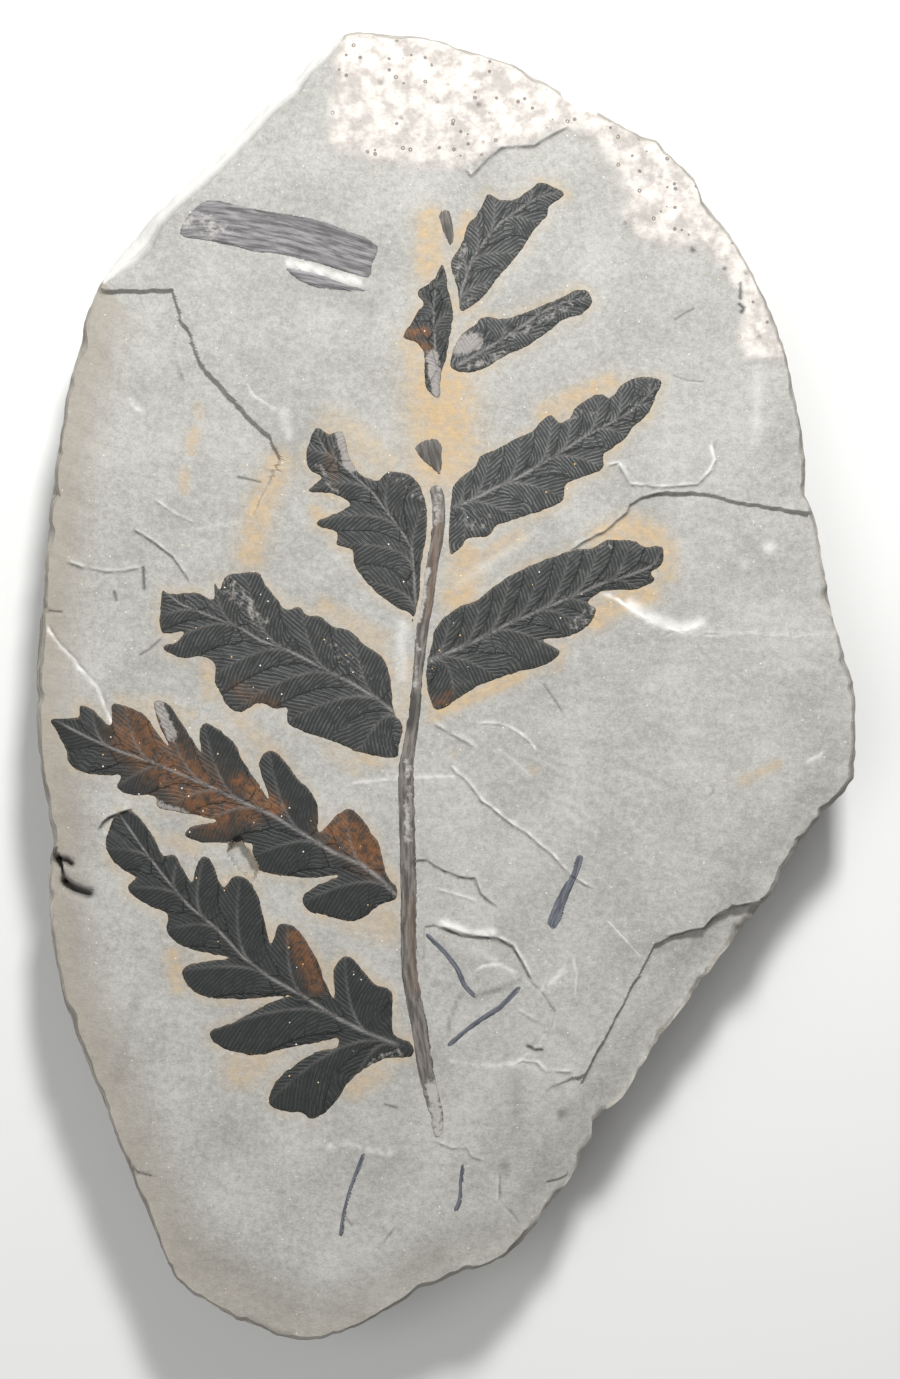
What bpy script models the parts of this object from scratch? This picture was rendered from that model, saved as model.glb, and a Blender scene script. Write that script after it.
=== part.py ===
"""Fossil frond of the seed fern Mariopteris: black carbon films on a slab of grey shale.

The slab lies flat with its bedding plane up. +X runs to the frond's right, +Y to its top and
+Z up; the origin is under the middle of the slab, on the flat face that it rests on. Plan
points are millimetres on a sheet laid over the slab, x to the right and y down from the
sheet's top left corner. Each leaf film is inlaid in a shallow groove of its own outline.
"""
import math

import bmesh
import bpy
import numpy as np
from mathutils import Vector, noise

MM = 0.001

SLAB_THICKNESS = 12.0
FILM_THICKNESS = 0.5
FILM_PROUD = 0.2
GAP = 0.3
GROOVE_DEPTH = FILM_THICKNESS - FILM_PROUD + GAP
GROOVE_STEP = 0.012
CUTTER_TOP = SLAB_THICKNESS + 3.0
MITRE_LIMIT = 2.5

GRID_CELLS = 36
RIM_SETBACK = 0.5
RIM_CHIPPING = 0.7
RIM_CHIP_SIZE = 3.5
RIM_DROP = 0.6
RIM_BAND = 0.1
WIDEST_DROP = 1.3
FACET_SLOPE = 2.0
BED_STEP = 0.3
BED_RAGGEDNESS = 1.3
BED_NOISE_SIZE = 6.0
BED_WANDER = 1.5
BED_WANDER_SIZE = 14.0
# Share of the height left, setback above the bed joint and setback below it.
BED_JOINTS = ((0.68, 0.2, 0.8), (0.34, 0.45, 1.1))
FOOT_SETBACK = 1.3
UNDULATION = 0.08
UNDULATION_SIZE = 15.0
LUMPS = 0.35
LUMP_SIZE = 11.0
LUMPS_START = 1.5
LUMPS_FULL = 8.0
CRUST_LIFT = 0.35
CRUST_LUMPS = 0.3
CRUST_LUMP_SIZE = 5.0
CRUST_EDGE_SOFTNESS = 1.2

SLAB_OUTLINE = (
    (35.7, 2.8), (40.9, 3.1), (43.7, 3.65), (45.5, 4.2), (48.8, 5.3), (51.3, 6.1), (53.4, 7.2),
    (55.5, 8.4), (58.2, 9.7), (60.3, 10.9), (61.7, 11.9), (63.5, 12.8), (65.8, 13.7),
    (67.7, 15.7), (69.4, 17.2), (70.4, 19.7), (71.9, 21.4), (73.3, 23.4), (75.4, 27.0),
    (77.3, 30.9), (78.5, 34.1), (79.4, 38.0), (80.1, 41.5), (80.8, 46.1), (80.7, 49.4),
    (81.6, 51.0), (82.5, 56.3), (83.5, 61.4), (84.8, 66.0), (85.7, 68.1), (85.8, 72.1),
    (85.7, 78.0), (84.8, 79.3), (83.6, 80.4), (81.7, 82.4), (80.0, 84.6), (78.6, 87.1),
    (77.4, 89.4), (76.0, 91.1), (74.1, 93.5), (72.1, 95.9), (70.3, 98.4), (68.0, 101.5),
    (66.0, 104.0), (63.9, 107.4), (62.4, 110.0), (60.7, 111.4), (59.2, 112.3), (59.3, 113.3),
    (59.1, 115.0), (58.3, 115.7), (57.7, 117.1), (56.2, 119.4), (54.6, 121.1), (53.6, 122.9),
    (52.2, 124.7), (50.5, 126.0), (48.3, 127.1), (46.2, 127.5), (44.2, 128.5), (42.1, 129.2),
    (40.5, 130.4), (38.3, 131.6), (36.1, 132.8), (33.9, 133.7), (32.2, 134.3), (29.9, 134.4),
    (27.6, 134.0), (26.1, 133.1), (23.4, 132.3), (21.3, 131.0), (19.2, 129.8), (17.3, 128.1),
    (16.4, 126.2), (15.3, 123.3), (14.1, 120.6), (12.8, 117.3), (11.1, 113.1), (9.9, 109.7),
    (8.6, 106.8), (7.6, 104.2), (6.5, 101.5), (5.8, 98.3), (5.2, 95.5), (4.65, 91.3),
    (4.65, 87.0), (5.1, 84.2), (4.5, 80.8), (3.9, 77.4), (3.5, 74.0), (3.35, 69.5),
    (3.5, 64.0), (3.7, 61.6), (4.2, 59.4), (4.25, 56.3), (4.6, 52.6), (4.9, 49.1), (5.3, 46.3),
    (6.1, 42.0), (6.4, 39.0), (7.1, 36.7), (7.8, 33.9), (8.4, 31.3), (8.9, 30.1), (9.5, 28.6),
    (11.0, 25.2), (11.7, 23.7), (13.0, 22.0), (15.4, 20.0), (17.4, 18.1), (18.9, 16.4),
    (20.9, 15.0), (22.9, 12.9), (25.7, 9.9), (28.0, 7.5), (29.9, 5.9), (31.1, 4.3),
    (31.7, 3.5), (33.1, 3.3),
)
FACET_RIM = (
    (8.9, 30.1), (10.2, 28.6), (11.9, 27.4), (13.9, 26.2), (15.2, 24.8), (16.3, 22.5),
    (18.0, 20.6), (20.4, 18.6), (22.2, 16.9), (25.0, 14.1), (27.6, 11.1), (29.8, 9.4),
    (31.1, 7.5), (33.1, 5.7), (34.4, 3.8), (35.7, 2.8),
)
NOTCH_RIM = ((54.5, 8.3), (56.2, 9.8), (58.7, 11.15), (60.8, 12.1), (62.2, 12.6))

CRUST_EDGE = (
    (33.0, 14.5), (40.0, 17.0), (46.4, 16.7), (47.1, 17.6), (50.1, 14.6), (53.4, 14.6),
    (57.1, 12.5), (60.0, 15.0), (62.3, 18.0), (62.5, 21.6), (63.8, 23.9), (68.1, 24.5),
    (70.0, 24.7), (71.9, 26.6), (73.8, 29.3), (74.6, 35.8), (79.5, 36.2),
)
CRUST_OUTER_CORNERS = ((95.0, 36.2), (95.0, -5.0), (33.0, -5.0))

STALK_LINE = (
    (43.8, 113.5), (43.7, 111.5), (43.3, 110.0), (42.8, 108.0), (42.4, 106.0), (42.15, 104.0),
    (41.8, 102.0), (41.4, 100.0), (41.0, 97.5), (40.85, 94.0), (40.85, 90.0), (40.8, 86.0),
    (40.7, 82.0), (40.6, 78.0), (40.8, 75.5), (41.2, 73.0), (41.5, 70.5), (41.7, 68.0),
    (41.9, 66.0), (42.1, 64.0), (42.4, 62.0), (42.8, 60.0), (43.0, 58.0), (43.3, 56.0),
    (43.7, 54.0), (43.9, 52.0), (43.85, 50.0), (43.5, 48.7),
)
STALK_HALF_WIDTHS = (
    0.4, 0.65, 0.75, 0.8, 0.8, 0.8, 0.8, 0.8, 0.8, 0.8, 0.8, 0.8, 0.8, 0.8,
    0.7, 0.6, 0.6, 0.5, 0.55, 0.6, 0.6, 0.6, 0.6, 0.6, 0.65, 0.65, 0.65, 0.5,
)

LEFT_PINNA_1 = (
    (41.0, 104.2), (39.4, 103.5), (39.2, 101.6), (39.1, 99.1), (37.5, 98.4), (36.4, 97.2),
    (35.2, 95.8), (34.2, 95.8), (33.4, 97.0), (33.4, 99.8), (32.5, 98.2), (31.9, 96.4),
    (31.0, 94.8), (30.0, 93.2), (28.8, 92.4), (27.8, 92.6), (27.1, 94.4), (26.5, 92.2),
    (25.7, 89.4), (24.8, 88.0), (23.4, 87.6), (22.4, 88.7), (21.7, 87.6), (21.1, 86.0),
    (20.2, 85.7), (19.6, 86.8), (19.2, 88.2), (18.3, 86.9), (17.4, 85.5), (16.4, 85.6),
    (15.5, 84.0), (14.4, 82.3), (13.2, 81.2), (12.1, 81.1), (11.0, 82.5), (10.6, 84.9),
    (11.9, 86.7), (13.6, 87.7), (12.7, 88.7), (13.6, 89.8), (15.2, 90.7), (16.7, 91.4),
    (16.7, 93.2), (18.0, 94.5), (20.2, 95.2), (22.9, 95.8), (20.2, 96.2), (18.3, 96.9),
    (18.8, 98.6), (20.4, 99.6), (23.0, 99.9), (26.1, 99.8), (29.2, 99.5), (26.9, 100.3),
    (25.0, 101.3), (23.0, 102.4), (21.1, 103.1), (21.3, 104.1), (22.9, 105.0), (25.7, 105.5),
    (28.3, 104.9), (31.4, 104.3), (33.7, 103.8), (33.6, 104.8), (31.6, 105.2), (29.5, 106.5),
    (27.6, 108.1), (26.9, 110.2), (28.2, 111.1), (30.2, 111.3), (31.0, 111.9), (32.3, 111.4),
    (33.6, 110.1), (34.7, 108.4), (36.1, 107.1), (38.4, 105.9), (41.1, 105.6),
)
LEFT_PINNA_2 = (
    (39.6, 88.7), (38.7, 87.6), (38.3, 86.2), (37.9, 84.5), (37.0, 83.1), (36.0, 81.6),
    (34.7, 80.9), (33.4, 81.8), (31.9, 83.2), (31.8, 80.9), (31.2, 79.3), (29.9, 78.0),
    (28.8, 76.6), (27.7, 75.3), (26.8, 75.1), (25.9, 76.4), (27.0, 80.2), (26.1, 78.7),
    (25.1, 77.3), (24.2, 75.9), (23.3, 74.2), (21.6, 72.8), (20.4, 72.3), (19.9, 73.6),
    (20.1, 75.2), (18.9, 73.4), (17.8, 71.7), (16.7, 70.3), (15.5, 70.2), (15.7, 71.8),
    (17.0, 74.8), (15.7, 73.2), (14.6, 71.7), (13.4, 70.9), (12.1, 70.5), (11.2, 70.6),
    (11.1, 72.5), (9.9, 71.6), (9.2, 70.9), (8.0, 70.6), (7.8, 71.8), (5.1, 71.9), (5.5, 73.0),
    (6.6, 74.9), (6.9, 76.2), (8.0, 77.1), (10.2, 77.5), (12.0, 77.6), (11.7, 78.7),
    (13.0, 79.5), (15.4, 79.6), (16.0, 80.8), (19.5, 81.5), (21.6, 82.1), (19.4, 82.6),
    (18.5, 83.5), (20.0, 84.2), (23.0, 84.3), (25.1, 84.3), (25.3, 85.4), (26.0, 87.0),
    (28.0, 87.5), (30.8, 87.8), (34.0, 87.5), (31.6, 88.6), (30.3, 89.7), (30.8, 91.0),
    (32.5, 91.5), (34.8, 92.1), (36.5, 91.7), (37.9, 90.5), (39.6, 89.9),
)
LEFT_PINNA_3 = (
    (40.2, 72.6), (39.4, 71.2), (39.1, 68.7), (38.8, 66.8), (38.0, 65.5), (36.4, 64.4),
    (35.1, 63.2), (33.3, 62.6), (32.0, 61.7), (30.6, 61.5), (29.9, 60.7), (28.5, 61.0),
    (27.6, 59.8), (26.5, 58.4), (25.8, 57.3), (24.2, 57.3), (22.6, 57.6), (22.0, 59.0),
    (21.4, 58.2), (21.3, 59.9), (19.6, 59.3), (17.0, 59.4), (16.3, 59.0), (16.1, 60.2),
    (16.0, 61.8), (16.3, 63.3), (18.3, 63.2), (17.8, 64.1), (16.3, 64.8), (18.2, 65.8),
    (20.2, 65.6), (21.5, 66.4), (21.5, 68.2), (22.1, 69.4), (22.9, 70.7), (24.1, 71.2),
    (25.8, 70.3), (27.6, 70.9), (28.8, 70.8), (28.7, 72.2), (30.0, 73.0), (33.8, 74.3),
    (36.0, 75.2), (39.5, 75.8), (39.9, 74.6),
)
LEFT_PINNA_4 = (
    (41.2, 62.2), (41.6, 61.0), (41.85, 59.8), (42.0, 58.3), (42.1, 56.6), (42.3, 55.2),
    (42.6, 53.8), (42.7, 51.7), (42.5, 50.0), (42.0, 48.7), (41.2, 47.7), (40.0, 47.2),
    (38.7, 47.2), (37.8, 48.0), (36.3, 47.6), (35.0, 45.8), (34.2, 43.1), (32.9, 43.5),
    (31.6, 42.8), (30.7, 45.0), (30.8, 46.8), (32.2, 47.8), (30.8, 49.1), (33.4, 49.4),
    (35.0, 50.6), (32.8, 51.7), (31.6, 52.3), (33.7, 53.2), (33.7, 54.5), (35.2, 55.0),
    (35.4, 56.4), (36.2, 57.6), (37.3, 58.9), (38.5, 59.9), (40.0, 60.9), (41.1, 61.5),
)
LEFT_PINNA_5 = (
    (44.2, 26.2), (43.7, 27.5), (42.9, 28.3), (41.8, 29.3), (42.4, 30.3), (41.7, 31.2),
    (41.2, 32.2), (40.3, 33.7), (41.7, 34.3), (42.4, 35.4), (42.5, 38.3), (43.1, 39.4),
    (43.9, 39.7), (44.1, 37.4), (44.6, 35.6), (45.1, 33.0), (45.3, 31.2), (44.9, 29.5),
    (44.6, 27.6),
)
RIGHT_PINNA_1 = (
    (42.8, 66.0), (43.2, 64.6), (43.4, 63.3), (44.4, 61.8), (45.9, 60.7), (47.4, 60.2),
    (49.7, 58.5), (51.2, 57.5), (53.0, 56.6), (55.0, 55.8), (57.3, 55.0), (59.2, 54.8),
    (60.9, 54.0), (63.5, 54.1), (64.4, 54.7), (66.2, 54.7), (66.2, 56.4), (65.1, 57.2),
    (65.4, 58.1), (63.6, 58.9), (61.8, 59.0), (60.1, 59.2), (58.8, 60.2), (59.6, 61.0),
    (59.0, 62.3), (57.8, 63.3), (56.0, 63.8), (54.2, 64.0), (55.9, 65.1), (55.2, 66.1),
    (53.6, 66.8), (51.7, 67.2), (49.6, 67.9), (47.6, 68.7), (46.0, 69.7), (44.7, 70.6),
    (43.5, 70.9), (42.8, 69.2), (42.6, 67.6),
)
RIGHT_PINNA_2 = (
    (45.1, 49.9), (45.4, 48.6), (46.4, 47.5), (47.5, 46.6), (48.1, 45.6), (49.6, 44.9),
    (51.4, 43.9), (53.1, 43.2), (54.2, 42.1), (55.1, 41.5), (56.0, 42.3), (57.0, 41.8),
    (57.6, 40.7), (59.0, 39.8), (60.2, 39.4), (61.0, 39.8), (62.2, 38.5), (63.7, 37.8),
    (66.1, 38.0), (65.6, 39.6), (64.8, 41.4), (63.3, 42.7), (62.3, 44.1), (60.4, 45.4),
    (60.3, 46.8), (58.3, 47.7), (56.6, 48.4), (56.3, 50.0), (54.6, 50.9), (51.8, 51.8),
    (49.8, 52.5), (48.7, 53.6), (46.9, 53.8), (46.0, 54.8), (45.1, 55.4), (44.9, 53.6),
)
RIGHT_PINNA_3 = (
    (45.2, 36.8), (45.3, 35.1), (46.0, 33.7), (47.4, 32.5), (48.4, 31.7), (50.4, 31.9),
    (52.0, 31.4), (53.6, 30.8), (55.6, 30.0), (57.5, 29.1), (58.6, 29.1), (59.2, 30.2),
    (58.3, 31.3), (56.3, 32.0), (54.8, 33.2), (52.7, 34.6), (50.3, 35.7), (48.3, 36.9),
    (46.8, 37.3),
)
RIGHT_PINNA_4 = (
    (46.1, 31.0), (47.2, 30.6), (48.3, 29.7), (49.6, 28.0), (51.2, 26.1), (52.4, 24.6),
    (53.5, 22.8), (54.7, 21.6), (55.0, 20.6), (56.4, 19.5), (55.6, 18.8), (54.0, 18.2),
    (53.0, 18.9), (51.6, 19.9), (50.0, 20.0), (48.9, 19.4), (48.3, 20.3), (47.6, 21.6),
    (46.8, 22.5), (46.3, 24.0), (45.6, 25.3), (45.1, 26.5), (45.5, 28.0), (45.9, 29.6),
)
STALK_TIP = ((43.9, 21.6), (44.5, 21.0), (45.0, 21.4), (45.4, 23.2), (45.1, 24.6), (44.5, 23.6))
STALK_REMNANT = ((41.5, 44.6), (43.9, 44.0), (44.1, 47.3), (43.2, 46.8), (42.2, 45.9))

STEM_FRAGMENT = (
    (19.4, 20.8), (20.6, 20.0), (22.2, 20.1), (23.9, 20.5), (25.9, 21.0), (29.2, 21.5),
    (32.0, 22.1), (34.3, 22.9), (36.6, 23.8), (37.8, 24.8), (37.2, 26.4), (36.8, 27.7),
    (34.5, 27.2), (31.6, 26.3), (28.2, 25.5), (25.5, 25.1), (22.4, 24.4), (19.8, 23.9),
    (18.0, 23.4), (18.4, 22.0),
)
STEM_SLIVER = (
    (28.6, 26.8), (31.4, 27.3), (33.6, 28.1), (36.6, 29.0), (35.0, 29.1), (32.0, 28.8),
    (30.0, 28.1),
)

LEAF_STRIP_LINE = ((58.0, 85.7), (57.4, 87.5), (56.5, 89.3), (55.8, 91.0), (55.2, 92.6))
LEAF_STRIP_HALF_WIDTHS = (0.35, 0.35, 0.5, 0.6, 0.5)
FORK_LEFT_LINE = ((42.8, 93.6), (44.5, 95.3), (45.7, 96.9), (46.4, 98.5), (47.4, 99.6))
FORK_RIGHT_LINE = ((51.8, 98.9), (50.0, 100.7), (47.9, 102.1), (46.3, 103.3), (44.9, 104.5))
FORK_HALF_WIDTHS = (0.2, 0.25, 0.25, 0.25, 0.2)
NEEDLE_LONG_LINE = ((36.3, 115.6), (35.6, 117.4), (34.9, 119.4), (34.4, 121.4), (34.1, 123.4))
NEEDLE_SHORT_LINE = ((46.3, 116.6), (46.1, 118.3), (46.0, 119.9), (45.6, 121.0))
NEEDLE_HALF_WIDTH = 0.2

ARC_TERRACE = (
    (17.2, 29.0), (18.0, 31.8), (19.0, 33.5), (19.7, 35.7), (20.5, 37.1), (21.6, 38.1),
    (22.7, 39.3), (23.8, 40.6), (25.1, 41.9), (27.1, 43.9), (28.0, 46.0), (25.0, 52.0),
    (12.0, 54.0), (0.0, 54.0), (0.0, 29.0),
)
ARC_TERRACE_DEPTH = 0.55
ARC_TERRACE_FALL = (0.026, -0.018)
MARGIN_TERRACE = (
    (65.5, 94.5), (67.8, 93.4), (70.5, 92.8), (71.3, 91.8), (73.3, 90.7), (75.6, 90.4),
    (77.5, 89.3), (82.0, 91.0), (70.0, 106.0), (62.0, 112.0), (58.0, 108.5), (61.5, 102.0),
)
MARGIN_TERRACE_DEPTH = 0.5
MARGIN_TERRACE_FALL = (0.06, 0.05)
CORNER_BREAK = (
    (58.3, 107.5), (55.0, 108.8), (52.4, 111.0), (50.6, 113.0), (49.8, 116.0), (49.7, 119.8),
    (51.0, 122.0), (52.0, 125.5), (56.0, 126.0), (66.0, 114.0), (66.0, 109.0),
)
CORNER_BREAK_DEPTH = 0.35
CORNER_BREAK_FALL = (0.11, 0.04)
LEFT_CHIP = (
    (5.1, 84.6), (6.0, 85.8), (6.3, 88.0), (8.7, 89.3), (8.6, 90.2), (7.6, 92.7), (6.1, 98.3),
    (1.0, 98.5), (1.0, 84.6),
)
LEFT_CHIP_DEPTH = 1.3
LEFT_CHIP_FALL = (-0.22, -0.09)
TIP_HOLLOW = (
    (56.7, 55.4), (58.3, 54.2), (60.6, 53.1), (62.7, 51.2), (63.0, 50.5), (64.1, 49.8),
    (65.9, 49.3), (69.8, 49.3), (73.5, 50.2), (86.0, 52.0), (88.0, 63.0), (79.0, 63.5),
    (73.5, 63.2), (69.0, 63.2), (66.3, 62.7), (64.0, 61.8), (62.0, 60.2), (60.1, 59.1),
)
TIP_HOLLOW_DEPTH = 0.08
TIP_HOLLOW_FALL = (0.018, 0.0)
FORK_HOLLOW = (
    (42.5, 92.6), (45.0, 92.8), (47.1, 93.6), (49.8, 94.2), (51.1, 94.7), (52.4, 96.4),
    (53.3, 98.4), (54.3, 99.4), (55.5, 101.2), (55.2, 102.8), (53.8, 104.6), (51.5, 106.4),
    (48.0, 106.6), (44.9, 106.0), (43.7, 102.5), (42.9, 99.5), (42.4, 96.0),
)
FORK_HOLLOW_DEPTH = 0.22
PIT_LINE = ((23.3, 84.7), (24.4, 85.9), (25.0, 87.2))
PIT_HALF_WIDTHS = (0.75, 0.95, 0.7)
PIT_DEPTH = 1.1

SHALE_COLOUR = (0.42, 0.41, 0.38, 1.0)
LEAF_COLOUR = (0.012, 0.015, 0.014, 1.0)
STALK_COLOUR = (0.10, 0.09, 0.08, 1.0)
STEM_COLOUR = (0.17, 0.16, 0.16, 1.0)
SCRAP_COLOUR = (0.12, 0.12, 0.13, 1.0)
STONE_ROUGHNESS = 0.9
FILM_ROUGHNESS = 0.55


def sheet_centre():
    """Middle of the slab's outline on the plan sheet."""
    across = [point[0] for point in SLAB_OUTLINE]
    down = [point[1] for point in SLAB_OUTLINE]
    return (min(across) + max(across)) / 2, (min(down) + max(down)) / 2


CENTRE = sheet_centre()


def plan(point):
    """World x and y in metres of a point on the plan sheet."""
    return (point[0] - CENTRE[0]) * MM, (CENTRE[1] - point[1]) * MM


def make_material(name, colour, roughness):
    material = bpy.data.materials.new(name)
    material.use_nodes = True
    shader = material.node_tree.nodes["Principled BSDF"]
    shader.inputs["Base Color"].default_value = colour
    shader.inputs["Roughness"].default_value = roughness
    shader.inputs["Metallic"].default_value = 0.0
    return material


def make_collection(name):
    collection = bpy.data.collections.new(name)
    bpy.context.scene.collection.children.link(collection)
    return collection


def outlines_to_radii(outline):
    """A star-shaped outline as sorted angles and the radii at them, about the sheet's centre."""
    offsets = np.array(outline) - np.array(CENTRE)
    angles = np.arctan2(-offsets[:, 1], offsets[:, 0]) % math.tau
    order = np.argsort(angles)
    return angles[order], np.hypot(offsets[:, 0], offsets[:, 1])[order]


OUTLINE_ANGLES, OUTLINE_RADII = outlines_to_radii(SLAB_OUTLINE)
FACET_ANGLES, FACET_RADII = outlines_to_radii(FACET_RIM)
NOTCH_ANGLES, NOTCH_RADII = outlines_to_radii(NOTCH_RIM)


def outline_radius(angle):
    """Distance in mm from the centre to the slab's widest contour."""
    return float(np.interp(angle, OUTLINE_ANGLES, OUTLINE_RADII, period=math.tau))


def rim_radius(angle):
    """Distance in mm from the centre to the chipped edge of the bedding plane."""
    far = 1000.0
    angle = angle % math.tau
    widest = outline_radius(angle)
    spot = Vector((widest * math.cos(angle), widest * math.sin(angle), 0.0)) / RIM_CHIP_SIZE
    setback = RIM_SETBACK + RIM_CHIPPING * max(0.0, noise.noise(spot))
    facet = np.interp(angle, FACET_ANGLES, FACET_RADII, left=far, right=far)
    notch = np.interp(angle, NOTCH_ANGLES, NOTCH_RADII, left=far, right=far)
    return min(widest - setback, float(facet), float(notch))


def smooth_step(value):
    value = min(max(value, 0.0), 1.0)
    return value * value * (3.0 - 2.0 * value)


def line_distance(point, line):
    """Shortest distance on the sheet from a point to a broken line."""
    spot = np.array(point)
    starts = np.array(line[:-1])
    runs = np.array(line[1:]) - starts
    shares = ((spot - starts) * runs).sum(axis=1) / (runs * runs).sum(axis=1)
    nearest = starts + runs * np.clip(shares, 0.0, 1.0)[:, None]
    return float(np.sqrt(((nearest - spot) ** 2).sum(axis=1)).min())


def surface_height(point, share, leaves):
    """Height in mm of the bedding plane; share runs from 0 at the middle to 1 at the rim."""
    spot = Vector((point[0], point[1], 0.0))
    height = SLAB_THICKNESS + UNDULATION * noise.noise(spot / UNDULATION_SIZE)
    clear = min(line_distance(point, leaf) for leaf in leaves)
    lumps = noise.noise(spot / LUMP_SIZE + Vector((0.0, 5.0, 0.0)))
    height += LUMPS * lumps * smooth_step((clear - LUMPS_START) / LUMPS_FULL)
    height -= RIM_DROP * smooth_step((share - 1.0 + RIM_BAND) / RIM_BAND)
    reach = line_distance(point, CRUST_EDGE)
    inside = reach if in_crust(point) else -reach
    cover = smooth_step(0.5 + inside / (2.0 * CRUST_EDGE_SOFTNESS))
    knobs = noise.noise(spot / CRUST_LUMP_SIZE + Vector((9.0, 0.0, 0.0)))
    return height + cover * (CRUST_LIFT + CRUST_LUMPS * knobs)


def in_crust(point):
    """True for a sheet point on the crust, between its edge and the top right margin."""
    x, y = point
    crossed = False
    corners = CRUST_EDGE + CRUST_OUTER_CORNERS
    for (ax, ay), (bx, by) in zip(corners, corners[1:] + corners[:1]):
        if (ay > y) != (by > y) and x < ax + (bx - ax) * (y - ay) / (by - ay):
            crossed = not crossed
    return crossed


def disc_place(across, up):
    """Polar place on an ellipse of the slab's proportions for a point of a square grid."""
    if across == 0.0 and up == 0.0:
        return 0.0, 0.0
    if abs(across) > abs(up):
        share = abs(across)
        turn = math.pi / 4 * up / across
        turn += 0.0 if across > 0.0 else math.pi
    else:
        share = abs(up)
        turn = math.pi / 2 - math.pi / 4 * across / up
        turn += 0.0 if up > 0.0 else math.pi
    half_width = np.ptp([point[0] for point in SLAB_OUTLINE]) / 2
    half_length = np.ptp([point[1] for point in SLAB_OUTLINE]) / 2
    return share, math.atan2(half_length * math.sin(turn), half_width * math.cos(turn)) % math.tau


def ragged(angle, radius, bed):
    """Extra setback in mm of a bed's broken edge, different for each bed."""
    spot = Vector((radius * math.cos(angle), radius * math.sin(angle), 40.0 * bed)) / BED_NOISE_SIZE
    return BED_RAGGEDNESS * (0.5 + 0.5 * noise.noise(spot))


def side_rings(angle):
    """Radius and height in mm of each ring down the slab's broken side at one angle."""
    widest = outline_radius(angle)
    setback = widest - rim_radius(angle)
    top = SLAB_THICKNESS - WIDEST_DROP - FACET_SLOPE * (setback - RIM_SETBACK)
    rings = [(widest, top)]
    for bed, (share, above, below) in enumerate(BED_JOINTS):
        spot = Vector((widest * math.cos(angle), widest * math.sin(angle), 90.0 + 30.0 * bed))
        height = share * top + BED_WANDER * noise.noise(spot / BED_WANDER_SIZE)
        rings.append((widest - above - ragged(angle, widest, bed), height + BED_STEP / 2))
        rings.append((widest - below - ragged(angle, widest, bed + 1), height - BED_STEP / 2))
    rings.append((widest - FOOT_SETBACK - ragged(angle, widest, len(BED_JOINTS)), 0.0))
    return rings


def make_slab(collection):
    """The shale slab: a bedding plane, a broken side that steps in bed by bed, and a flat foot."""
    leaves = [outline for name, outline, material, level in film_outlines()]
    bm = bmesh.new()
    bmesh.ops.create_grid(bm, x_segments=GRID_CELLS, y_segments=GRID_CELLS, size=1.0)
    angles = {}
    for vert in bm.verts:
        share, angle = disc_place(vert.co.x, vert.co.y)
        radius = share * rim_radius(angle)
        point = (CENTRE[0] + radius * math.cos(angle), CENTRE[1] - radius * math.sin(angle))
        vert.co = (*plan(point), surface_height(point, share, leaves) * MM)
        angles[vert] = angle
    ring_count = len(side_rings(0.0))
    for level in range(ring_count):
        border = [edge for edge in bm.edges if edge.is_boundary]
        above = {vert for edge in border for vert in edge.verts}
        made = bmesh.ops.extrude_edge_only(bm, edges=border)["geom"]
        below = {item for item in made if isinstance(item, bmesh.types.BMVert)}
        for vert in below:
            partner = next(other for edge in vert.link_edges for other in edge.verts if other in above)
            angle = angles[partner]
            radius, height = side_rings(angle)[level]
            vert.co = (radius * math.cos(angle) * MM, radius * math.sin(angle) * MM, height * MM)
            angles[vert] = angle
    border = [edge for edge in bm.edges if edge.is_boundary]
    bmesh.ops.contextual_create(bm, geom=border)
    bmesh.ops.triangulate(bm, faces=bm.faces, quad_method="BEAUTY", ngon_method="BEAUTY")
    bmesh.ops.recalc_face_normals(bm, faces=bm.faces)
    mesh = bpy.data.meshes.new("shale_slab")
    bm.to_mesh(mesh)
    bm.free()
    mesh.materials.append(make_material("shale", SHALE_COLOUR, STONE_ROUGHNESS))
    slab = bpy.data.objects.new("shale_slab", mesh)
    collection.objects.link(slab)
    return slab


def prism(name, outline, bottom, top, collection):
    """Closed solid between two heights in mm whose flat outline lies on the plan sheet."""
    curve = bpy.data.curves.new(name, "CURVE")
    curve.dimensions = "2D"
    curve.fill_mode = "BOTH"
    curve.extrude = (top - bottom) * MM / 2
    spline = curve.splines.new("POLY")
    spline.points.add(len(outline) - 1)
    for spot, point in zip(spline.points, outline):
        spot.co = (*plan(point), 0.0, 1.0)
    spline.use_cyclic_u = True
    drawn = bpy.data.objects.new(name + "_outline", curve)
    drawn.location.z = (bottom + top) * MM / 2
    collection.objects.link(drawn)
    bpy.context.view_layer.update()
    solid = drawn.evaluated_get(bpy.context.evaluated_depsgraph_get())
    mesh = bpy.data.meshes.new_from_object(solid)
    bm = bmesh.new()
    bm.from_mesh(mesh)
    bmesh.ops.remove_doubles(bm, verts=bm.verts, dist=0.000001)
    bmesh.ops.recalc_face_normals(bm, faces=bm.faces)
    bm.to_mesh(mesh)
    bm.free()
    piece = bpy.data.objects.new(name, mesh)
    piece.matrix_world = drawn.matrix_world
    collection.objects.link(piece)
    bpy.data.objects.remove(drawn)
    bpy.data.curves.remove(curve)
    return piece


def make_cutter(name, outline, floor, collection):
    """Hidden cutter from a floor height in mm up through the bedding plane."""
    cutter = prism(name, outline, floor, CUTTER_TOP, collection)
    cutter.hide_render = True
    cutter.display_type = "WIRE"
    return cutter


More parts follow.
